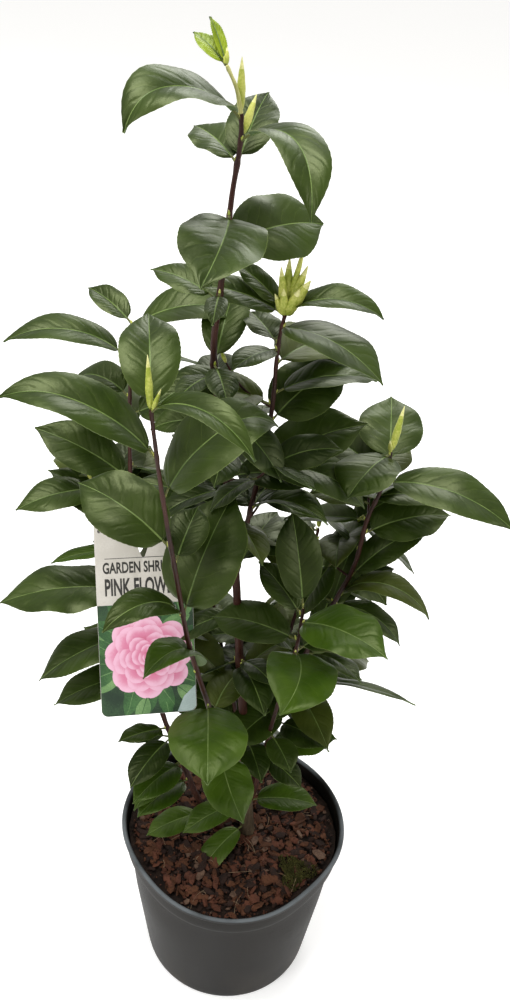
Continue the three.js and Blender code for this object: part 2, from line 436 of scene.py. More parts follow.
PALE_VEIN = (0.12, 0.165, 0.035)
YOUNG_VEIN = (0.36, 0.42, 0.08)
LEAF_FINISHES = {
    Tone.DEEP: LeafFinish("leaf_deep", (0.0112, 0.0235, 0.0014), (0.0215, 0.0405, 0.0028), PALE_VEIN, 0.40),
    Tone.DARK: LeafFinish("leaf_dark", (0.006, 0.015, 0.001), (0.014, 0.028, 0.0015), PALE_VEIN, 0.42),
    Tone.OLIVE: LeafFinish("leaf_olive", (0.028, 0.040, 0.003), (0.045, 0.060, 0.006), PALE_VEIN, 0.46),
    Tone.FRESH: LeafFinish("leaf_fresh", (0.022, 0.050, 0.0015), (0.038, 0.077, 0.0025), PALE_VEIN, 0.41),
    Tone.YOUNG: LeafFinish("leaf_young", (0.085, 0.135, 0.002), (0.22, 0.29, 0.012), YOUNG_VEIN, 0.38),
}
UNDERSIDE = MatteFinish("leaf_underside", (0.075, 0.115, 0.045), (0.115, 0.16, 0.065), 0.55, 240.0)
MIDRIB = MatteFinish("leaf_midrib", (0.085, 0.135, 0.030), (0.15, 0.21, 0.055), 0.42, 160.0)
# painted highlight: the pale finish of each blade's thin edge faces
EDGE_HIGHLIGHT = MatteFinish("leaf_edge_highlight", (0.085, 0.13, 0.035), (0.16, 0.21, 0.075), 0.40, 300.0)
STALK = MatteFinish("leaf_stalk", (0.075, 0.085, 0.022), (0.13, 0.14, 0.04), 0.5, 300.0)
BUD = MatteFinish("bud_scale", (0.29, 0.35, 0.04), (0.56, 0.57, 0.14), 0.38, 260.0)
BUD_TIP = MatteFinish("bud_tip", (0.54, 0.55, 0.17), (0.80, 0.77, 0.36), 0.42, 260.0)
YOUNG_BARK = MatteFinish(
    "young_shoot", (0.38, 0.38, 0.10), (0.62, 0.60, 0.24), 0.45, 200.0, (1.0, 1.0, 0.3)
)
BARK = MatteFinish(
    "stem_bark", (0.018, 0.0048, 0.0026), (0.050, 0.0135, 0.0075), 0.52, 170.0, (1.0, 1.0, 0.22), 0.0004,
    (0.10, 0.055, 0.035),
)
OLD_BARK = MatteFinish(
    "old_bark", (0.055, 0.038, 0.022), (0.125, 0.092, 0.052), 0.75, 150.0, (1.0, 1.0, 0.18), 0.0009,
    (0.20, 0.17, 0.12),
)


# ------------------------------------------------------------------ meshes from arrays
@dataclass
class Sheaf:
    """Many small shapes on their way to one joined mesh."""

    name: str
    finishes: Sequence[LeafFinish | MatteFinish | CardFinish]
    points: list[np.ndarray] = field(default_factory=list)
    quads: list[np.ndarray] = field(default_factory=list)
    slots: list[np.ndarray] = field(default_factory=list)
    spots: list[np.ndarray] = field(default_factory=list)
    count: int = 0

    def add(self, points: np.ndarray, quads: np.ndarray, slots: np.ndarray, spots: np.ndarray) -> None:
        """Adds one shape.

        Args:
            points: Its vertices, in metres.
            quads: Its faces, four vertices each. A triangle repeats one vertex.
            slots: Each face's finish, by number.
            spots: Each vertex's place on the pattern map.
        """
        self.points.append(points)
        self.quads.append(quads + self.count)
        self.slots.append(slots)
        self.spots.append(spots)
        self.count += len(points)

    def to_object(self, materials: Materials) -> bpy.types.Object:
        """Makes the joined object.

        Args:
            materials: Every finish's material, by name.

        Returns:
            The new object, at the origin.
        """
        quads = np.concatenate(self.quads)
        faces = [tuple(dict.fromkeys(face)) for face in quads.tolist()]
        mesh = bpy.data.meshes.new(self.name)
        mesh.from_pydata(np.concatenate(self.points).tolist(), [], faces)
        mesh.polygons.foreach_set("material_index", np.concatenate(self.slots).astype(np.int32))
        layer = mesh.uv_layers.new(name=PATTERN_MAP)
        corners = np.empty(len(mesh.loops), np.int32)
        mesh.loops.foreach_get("vertex_index", corners)
        layer.data.foreach_set("uv", np.concatenate(self.spots)[corners].astype(np.float32).ravel())
        for finish in self.finishes:
            mesh.materials.append(materials[finish.name])
        mesh.validate()
        made = add_to_scene(self.name, mesh)
        smooth_by_angle(made, 42.0)
        return made


def grid_quads(rows: int, columns: int) -> np.ndarray:
    """The faces of a grid of points, row by row.

    Args:
        rows: Rows of points.
        columns: Points in a row.

    Returns:
        One row of four point numbers for each face.
    """
    first = (np.arange(rows - 1)[:, None] * columns + np.arange(columns - 1)[None, :]).ravel()
    return np.stack([first, first + 1, first + columns + 1, first + columns], axis=1)


def slab_quads(rows: int, columns: int) -> tuple[np.ndarray, np.ndarray, np.ndarray]:
    """The faces of a closed slab: a grid of points above the same grid of points.

    Args:
        rows: Rows of points.
        columns: Points in a row.

    Returns:
        The faces of its upper side, its under side and its edge.
    """
    grid = grid_quads(rows, columns)
    shift = rows * columns
    edge = np.concatenate([
        np.arange(rows) * columns + columns - 1,
        (rows - 1) * columns + np.arange(columns - 2, -1, -1),
        np.arange(rows - 2, -1, -1) * columns,
        np.arange(1, columns - 1),
    ])
    after = np.roll(edge, -1)
    return grid, grid[:, ::-1] + shift, np.stack([edge, edge + shift, after + shift, after], axis=1)


def prism_quads(rings: int, corners: int) -> np.ndarray:
    """The faces of a closed stack of rings that run anticlockwise as seen from the last one.

    Args:
        rings: How many rings it has.
        corners: How many corners a ring has.

    Returns:
        The faces, with a fan of triangles at each end.
    """
    quads = [
        (low + k, low + (k + 1) % corners, low + corners + (k + 1) % corners, low + corners + k)
        for low in range(0, (rings - 1) * corners, corners)
        for k in range(corners)
    ]
    last = (rings - 1) * corners
    for k in range(1, corners - 1):
        quads += [(0, k + 1, k, k), (last, last + k, last + k + 1, last + k + 1)]
    return np.array(quads)


def turned_over(quads: np.ndarray) -> np.ndarray:
    """The same faces seen from their other side."""
    return quads[:, [0, 3, 2, 1]]


def plain_spots(points: np.ndarray) -> np.ndarray:
    """A pattern map for a shape that needs none."""
    return np.full((len(points), 2), 0.5)


def heading(bearing: float, pitch: float = 0.0) -> np.ndarray:
    """The way of length one along a bearing and a pitch, both in degrees."""
    turn, tilt = math.radians(bearing), math.radians(pitch)
    return np.array([math.cos(tilt) * math.cos(turn), math.cos(tilt) * math.sin(turn), math.sin(tilt)])


def unit(vectors: np.ndarray) -> np.ndarray:
    """Vectors of length one along the given ones."""
    return vectors / np.maximum(np.linalg.norm(vectors, axis=-1, keepdims=True), 1e-12)


def only(target: bpy.types.Object) -> None:
    """Makes one object the selected and active one.

    Args:
        target: The object.
    """
    bpy.ops.object.select_all(action="DESELECT")
    target.select_set(True)
    bpy.context.view_layer.objects.active = target


@contextmanager
def editing(target: bpy.types.Object, everything: bool = True) -> Iterator[None]:
    """Holds an object in edit mode for a while.

    Args:
        target: The object.
        everything: Whether its whole mesh is selected first.

    Yields:
        Nothing, while the mesh is open.
    """
    only(target)
    bpy.ops.object.mode_set(mode="EDIT")
    if everything:
        bpy.ops.mesh.select_all(action="SELECT")
    yield
    bpy.ops.object.mode_set(mode="OBJECT")


def pick_faces(target: bpy.types.Object, wanted: Callable[[bpy.types.MeshPolygon], bool]) -> None:
    """Selects some of an object's faces for its next edit.

    Args:
        target: The object.
        wanted: Tells whether a face is selected.
    """
    with editing(target):
        bpy.ops.mesh.select_mode(type="FACE")
        bpy.ops.mesh.select_all(action="DESELECT")
    for face in target.data.polygons:
        face.select = wanted(face)


def add_to_scene(name: str, data: bpy.types.ID) -> bpy.types.Object:
    """Makes an object of a mesh, curve, lamp or camera and puts it in the scene.

    Args:
        name: The object's name.
        data: What it shows.

    Returns:
        The object, at the origin.
    """
    made = bpy.data.objects.new(name, data)
    bpy.context.scene.collection.objects.link(made)
    return made


def smooth_by_angle(target: bpy.types.Object, angle: float) -> None:
    """Smooths an object's faces and leaves its sharper edges crisp."""
    only(target)
    bpy.ops.object.shade_smooth_by_angle(angle=math.radians(angle))


# ------------------------------------------------------------------ limbs
@dataclass
class Limb:
    """One stem or twig: a smooth line with a thickness, from its foot to its tip."""

    line: np.ndarray
    radius: np.ndarray

    @classmethod
    def through(cls, points: np.ndarray, radii: np.ndarray, step: float = 0.003) -> "Limb":
        """Runs a smooth curve through a few points.

        Args:
            points: The points, in metres, from foot to tip.
            radii: The thickness at each point.
            step: How far apart the curve's own points are.

        Returns:
            The limb.
        """
        ends = np.vstack([2 * points[0] - points[1], points, 2 * points[-1] - points[-2]])
        pieces, widths = [], []
        for i in range(1, len(ends) - 2):
            a, b, c, d = ends[i - 1 : i + 3]
            count = max(2, int(np.linalg.norm(c - b) / step))
            t = np.linspace(0, 1, count, endpoint=False)[:, None]
            square, cube = 2 * a - 5 * b + 4 * c - d, 3 * b - a - 3 * c + d
            pieces.append(0.5 * (2 * b + (c - a) * t + square * t**2 + cube * t**3))
            widths.append(radii[i - 1] + (radii[i] - radii[i - 1]) * t[:, 0])
        line = np.vstack([*pieces, points[-1:]])
        return cls(line, np.concatenate([*widths, radii[-1:]]))

    def at(self, height: float) -> tuple[np.ndarray, float]:
        """The middle and thickness of the limb at a height.

        Args:
            height: Metres above the pot's underside.

        Returns:
            The point and the radius.
        """
        i = int(np.argmin(np.abs(self.line[:, 2] - height)))
        return self.line[i], float(self.radius[i])


def level_rings(node: bpy.types.Object, sides: int = 6) -> tuple[np.ndarray, np.ndarray, np.ndarray]:
    """Reads a stem solid back into its level rings.

    Args:
        node: The stem's object, with its place in its mesh.
        sides: How many corners a whole ring has.

    Returns:
        The rings' middles from low to high, their radii, and the solid's lowest corner.
    """
    corners = np.array([v.co[:] for v in node.data.vertices])
    corners = np.unique(np.round(corners, 6), axis=0)
    heights, index = np.unique(np.round(corners[:, 2], 5), return_inverse=True)
    middles, radii = [], []
    for k in range(len(heights)):
        ring = corners[index == k]
        if len(ring) == sides:
            middle = ring.mean(axis=0)
            middles.append(middle)
            radii.append(float(np.linalg.norm(ring - middle, axis=1).mean()))
    return np.array(middles), np.array(radii), corners[np.argmin(corners[:, 2])]


# ------------------------------------------------------------------ leaves
@dataclass(frozen=True)
class Leaf:
    """One leaf and how it is held. Its reach is the straight distance from its node to its tip."""

    height: float
    bearing: float
    rise: float
    reach: float
    width: float
    droop: float = 40.0
    roll: float = 0.0
    tone: Tone = Tone.DEEP
    fold: float = 12.0
    sweep: float = 0.0
    stalk: float = 7.0
    hook: float = 0.0


@dataclass(frozen=True)
class BladeShape:
    """What all leaves share: their outline, their teeth and how finely they are cut into faces."""

    rows: int = 40
    cells: int = 5  # between the midrib and one edge
    thickness: float = 0.5
    rib: float = 0.72  # half the midrib's width where it leaves the stalk
    teeth: int = 19
    tooth: float = 0.32
    edge_curl: float = 0.16
    quilting: float = 0.30
    rippling: float = 0.029
    common_width: float = 46.0  # ruffles are as deep as given on a leaf this wide
    stalk_sides: int = 6
    stalk_radius: float = 0.95

    def half_width(self, along: np.ndarray, width: float, lean: float) -> np.ndarray:
        """The outline: rounded at the stalk, widest near the middle, with a short drawn-out point.

        Args:
            along: Places from 0 at the stalk to 1 at the tip.
            width: The leaf's full width.
            lean: Moves the widest place, towards the stalk below 1 and towards the tip near 1.

        Returns:
            Half the leaf's width at each place.
        """
        swell = np.sin(np.pi * np.clip(along, 0, 1) ** lean)
        power = 0.50 + 0.72 * np.clip((along - 0.60) / 0.40, 0, 1) ** 1.35
        return 0.5 * width * np.maximum(swell, 0.0) ** power + 0.25


SHAPE = BladeShape()


def spine(leaf: Leaf, count: int) -> tuple[np.ndarray, np.ndarray, np.ndarray]:
    """The line that a leaf's stalk and midrib follow from its node.

    Args:
        leaf: The leaf.
        count: How many points the line has.

    Returns:
        The points in millimetres from the node, the way along the line, and the blade's own upward way.
    """
    share = np.linspace(0, 1, count)
    late = np.clip((share - 0.60) / 0.40, 0, 1)
    bend = np.radians(leaf.droop * (0.5 - share) - leaf.hook * late * late * (3 - 2 * late))
    turn = np.radians(leaf.sweep * (share - 0.5))
    run = np.cumsum(np.cos(bend) * np.exp(1j * turn))[-1]
    tilt = math.radians(leaf.rise) - math.atan2(np.sum(np.sin(bend)), abs(run))
    pitch = bend + tilt
    bearing = turn + math.radians(leaf.bearing) - float(np.angle(run))
    level = np.cos(pitch)
    way = np.stack([level * np.cos(bearing), level * np.sin(bearing), np.sin(pitch)], axis=1)
    steps = (way[1:] + way[:-1]) / 2
    points = np.vstack([np.zeros(3), np.cumsum(steps, axis=0)])
    points *= leaf.reach / np.linalg.norm(points[-1])
    up = np.stack([-np.sin(pitch) * np.cos(bearing), -np.sin(pitch) * np.sin(bearing), level], axis=1)
    return points, way, up


def rolled(way: np.ndarray, up: np.ndarray, angle: float) -> tuple[np.ndarray, np.ndarray]:
    """Turns the blade about its midrib.

    Args:
        way: The way along the midrib.
        up: The blade's upward way before it turns.
        angle: Degrees, positive with the right edge down as seen from the stalk.

    Returns:
        The way to the blade's right edge, and its upward way.
    """
    right = np.cross(way, up)
    turn = math.radians(angle)
    return right * math.cos(turn) - up * math.sin(turn), up * math.cos(turn) + right * math.sin(turn)


def blade(leaf: Leaf, node: np.ndarray, rng: np.random.Generator) -> tuple[np.ndarray, ...]:
    """Models one leaf as a thin closed blade with its stalk.

    Args:
        leaf: The leaf.
        node: Where it leaves its stem, in metres.
        rng: Where its small differences from other leaves come from.

    Returns:
        Its vertices, faces, face slots and pattern map, as Sheaf.add takes them.
    """
    s = SHAPE
    points, way, up = spine(leaf, 3 * s.rows)
    right, up = rolled(way, up, leaf.roll)
    length = float(np.linalg.norm(np.diff(points, axis=0), axis=1).sum())
    start = min(leaf.stalk / length, 0.4)
    along = np.linspace(0, 1, s.rows)
    picks = start + (1 - start) * along
    source = np.linspace(0, 1, len(points))
    middle, across, lift = (
        np.stack([np.interp(picks, source, table[:, k]) for k in range(3)], axis=1)
        for table in (points, right, up)
    )
    half = s.half_width(along, leaf.width, rng.uniform(0.82, 0.97))
    toothed = half + s.tooth * (np.arange(s.rows) % 2 - 0.5) * np.clip(np.sin(np.pi * along) * 3, 0, 1)
    rib = np.minimum(s.rib * (1 - 0.75 * along), half * 0.5)
    spread = np.linspace(0, 1, s.cells + 1)[None, :]
    arm = rib[:, None] + (half - rib)[:, None] * spread
    arm[:, -1] = np.maximum(toothed, rib + 0.1)
    reach_out = np.concatenate([-arm[:, ::-1], np.zeros((s.rows, 1)), arm], axis=1)
    share = reach_out / arm[:, -1:]
    size = np.abs(share)
    fold = math.radians(leaf.fold)
    place = along[:, None]
    ruffles = [
        rng.uniform(0.5, 1.4) * np.sin(2 * np.pi * (place * rng.uniform(1.2, 2.6) + rng.random()))
        for _ in range(2)
    ]
    wave = np.where(share < 0, *ruffles) * leaf.width / s.common_width
    swirl = place * rng.uniform(1.6, 3.0) + share * rng.uniform(-0.9, 0.9) + rng.random()
    ripple = s.rippling * half[:, None] * np.sin(2 * np.pi * swirl) * np.sqrt(size)
    beat = np.abs(((place * 9.0 - size * 1.7) % 1.0) - 0.5) * 2
    quilt = s.quilting * (1 - beat**2) * size * (1 - size**2) * 2.2
    rise = (
        arm[:, -1:] * (math.sin(fold) * size - s.edge_curl * size**3)
        + wave * size**2
        + ripple
        + quilt
        - 0.45 * np.exp(-((reach_out / 1.6) ** 2))
    )
    flat = reach_out * (1 - 0.06 * size**2) * math.cos(fold)
    top = middle[:, None, :] + across[:, None, :] * flat[..., None] + lift[:, None, :] * rise[..., None]
    rows, columns = top.shape[:2]
    tangent = np.gradient(top, axis=0)
    sideways = np.gradient(top, axis=1)
    facing = unit(np.cross(sideways, tangent))
    body = s.thickness * (0.45 + 0.55 * (1 - size**2)) + 0.5 * np.exp(-((reach_out / 1.3) ** 2))
    bottom = top - facing * body[..., None]
    column = np.tile(np.arange(columns - 1), rows - 1)
    centre = s.cells + 1
    on_rib = (column == centre - 1) | (column == centre)
    spots = np.stack([share * 0.5 + 0.5, np.repeat(place, columns, axis=1)], axis=-1).reshape(-1, 2)
    quads = slab_quads(rows, columns)
    slots = [
        np.where(on_rib, SLOT_RIB, leaf.tone.value),
        np.where(on_rib, SLOT_RIB, SLOT_UNDER),
        # the edge faces take the painted edge highlight
        np.full(len(quads[2]), SLOT_EDGE_HIGHLIGHT),
    ]
    stalk_rows = int(start * (len(points) - 1)) + 2
    stalk, stalk_quads = tube(points, right, up, stalk_rows, s.stalk_radius, s.stalk_sides)
    slots.append(np.full(len(stalk_quads), SLOT_STALK))
    slab = np.concatenate([top.reshape(-1, 3), bottom.reshape(-1, 3)])
    return (
        np.concatenate([slab, stalk]) * MM + node,
        np.concatenate([*quads, stalk_quads + len(slab)]),
        np.concatenate(slots),
        np.concatenate([spots, spots, plain_spots(stalk)]),
    )


def tube(
    line: np.ndarray,
    right: np.ndarray,
    up: np.ndarray,
    count: int,
    radius: float,
    sides: int,
    rings: int = 5,
) -> tuple[np.ndarray, np.ndarray]:
    """A closed round stalk along the start of a line.

    Args:
        line: The line's points.
        right: The sideways way at each point.
        up: The upward way at each point.
        count: How many points the stalk follows.
        radius: Its thickness.
        sides: Its corners.
        rings: How many rings of corners it has at most.

    Returns:
        Its points and faces.
    """
    picks = np.unique(np.linspace(0, count - 1, rings).astype(int))
    turn = 2 * np.pi * np.arange(sides) / sides
    ring = (
        right[picks][:, None, :] * np.cos(turn)[None, :, None]
        + up[picks][:, None, :] * np.sin(turn)[None, :, None]
    ) * radius
    ring *= np.linspace(1.15, 0.9, len(picks))[:, None, None]
    points = (line[picks][:, None, :] + ring).reshape(-1, 3)
    return points, turned_over(prism_quads(len(picks), sides))


LEAF_SLOTS = (*LEAF_FINISHES.values(), UNDERSIDE, MIDRIB, EDGE_HIGHLIGHT, STALK, BUD, BUD_TIP)
SLOT_UNDER, SLOT_RIB, SLOT_EDGE_HIGHLIGHT, SLOT_STALK, SLOT_BUD, SLOT_BUD_TIP = range(5, 11)
SMALL_BUD = 8.0


@dataclass(frozen=True)
class Bud:
    """A pointed bud of overlapping scales."""

    height: float
    bearing: float
    rise: float
    length: float
    width: float
    scales: int = 3
    tip_from: float = 0.68

    def shape(self, node: np.ndarray) -> tuple[np.ndarray, ...]:
        """Models the bud.

        Args:
            node: Where it leaves its stem, in metres.

        Returns:
            Its vertices, faces, face slots and pattern map, as Sheaf.add takes them.
        """
        rows, sides = (15, 12) if self.length > SMALL_BUD else (7, 6)
        way = heading(self.bearing, self.rise)
        right = unit(np.cross(way, np.array([0.3, 0.2, 0.9])))
        up = np.cross(right, way)
        along = np.linspace(0, 1, rows)[:, None]
        turn = 2 * np.pi * np.arange(sides)[None, :] / sides
        body = np.sin(np.pi * np.clip(along, 0.0, 1.0) ** 0.75) ** 0.8 * (1 - 0.35 * along) + 0.05
        step = ((along * self.scales + 0.5 * np.sin(turn + along * 9) / self.scales) % 1.0) - 0.5
        radius = 0.5 * self.width * body * (1 - 0.12 * step)
        points = (
            way * (along * self.length)[..., None]
            + right * (radius * np.cos(turn))[..., None]
            + up * (radius * np.sin(turn))[..., None]
        )
        quads = turned_over(prism_quads(rows, sides))
        slots = np.where(quads[:, 0] // sides > rows * self.tip_from, SLOT_BUD_TIP, SLOT_BUD)
        points = points.reshape(-1, 3)
        return points * MM + node, quads, slots, plain_spots(points)


# ------------------------------------------------------------------ how the shrub is set out
@dataclass(frozen=True)
class Shoot:
    """One limb's leaves: those with a known place, and the room in which a rule adds more."""

    limb: str
    masses: tuple[str, ...]
    leaves: tuple[Leaf, ...]
    buds: tuple[Bud, ...] = ()
    first: float = 0.0
    last: float = 0.0
    turn: float = 0.0
    open_from: float = 20.0
    open_to: float = 160.0
    size: float = 72.0
    pace: float = 19.0
    twigs: int = 2
    tones: tuple[Tone, ...] = (Tone.DEEP, Tone.DARK, Tone.DEEP, Tone.OLIVE)
    parent: str = "main_stem"
    old_below: float = 0.0
    young_tip: float = 0.0

    def extra_leaves(self, rng: np.random.Generator) -> list[Leaf]:
        """Sets leaves spirally along the limb, in the room that the known leaves leave.

        Args:
            rng: Where the small differences come from.

        Returns:
            The added leaves, from low to high.
        """
        found = []
        height, step = self.first, 0
        while height < self.last:
            bearing = (self.turn + step * GOLDEN + rng.uniform(-14, 14)) % 360
            reach = self.size * rng.uniform(0.78, 1.16)
            leaf = Leaf(
                height, bearing, rng.uniform(-46, 14), reach, reach * rng.uniform(0.50, 0.62),
                rng.uniform(24, 64), rng.uniform(-30, 30), self.tones[rng.integers(len(self.tones))],
                fold=rng.uniform(6, 20), sweep=rng.uniform(-18, 18),
            )
            if self._is_open(bearing) and not any(self._crowds(leaf, other) for other in self.leaves):
                found.append(leaf)
            height += self.pace * rng.uniform(0.8, 1.25)
            step += 1
        return found

    def _is_open(self, bearing: float) -> bool:
        """Tells whether the rule may set a leaf in that direction."""
        return (bearing - self.open_from) % 360 <= (self.open_to - self.open_from) % 360

    @staticmethod
    def _crowds(leaf: Leaf, other: Leaf) -> bool:
        """Tells whether two leaves of one limb would lie in each other's place."""
        apart = abs((leaf.bearing - other.bearing + 180) % 360 - 180)
        return abs(leaf.height - other.height) < 16 and apart < 48


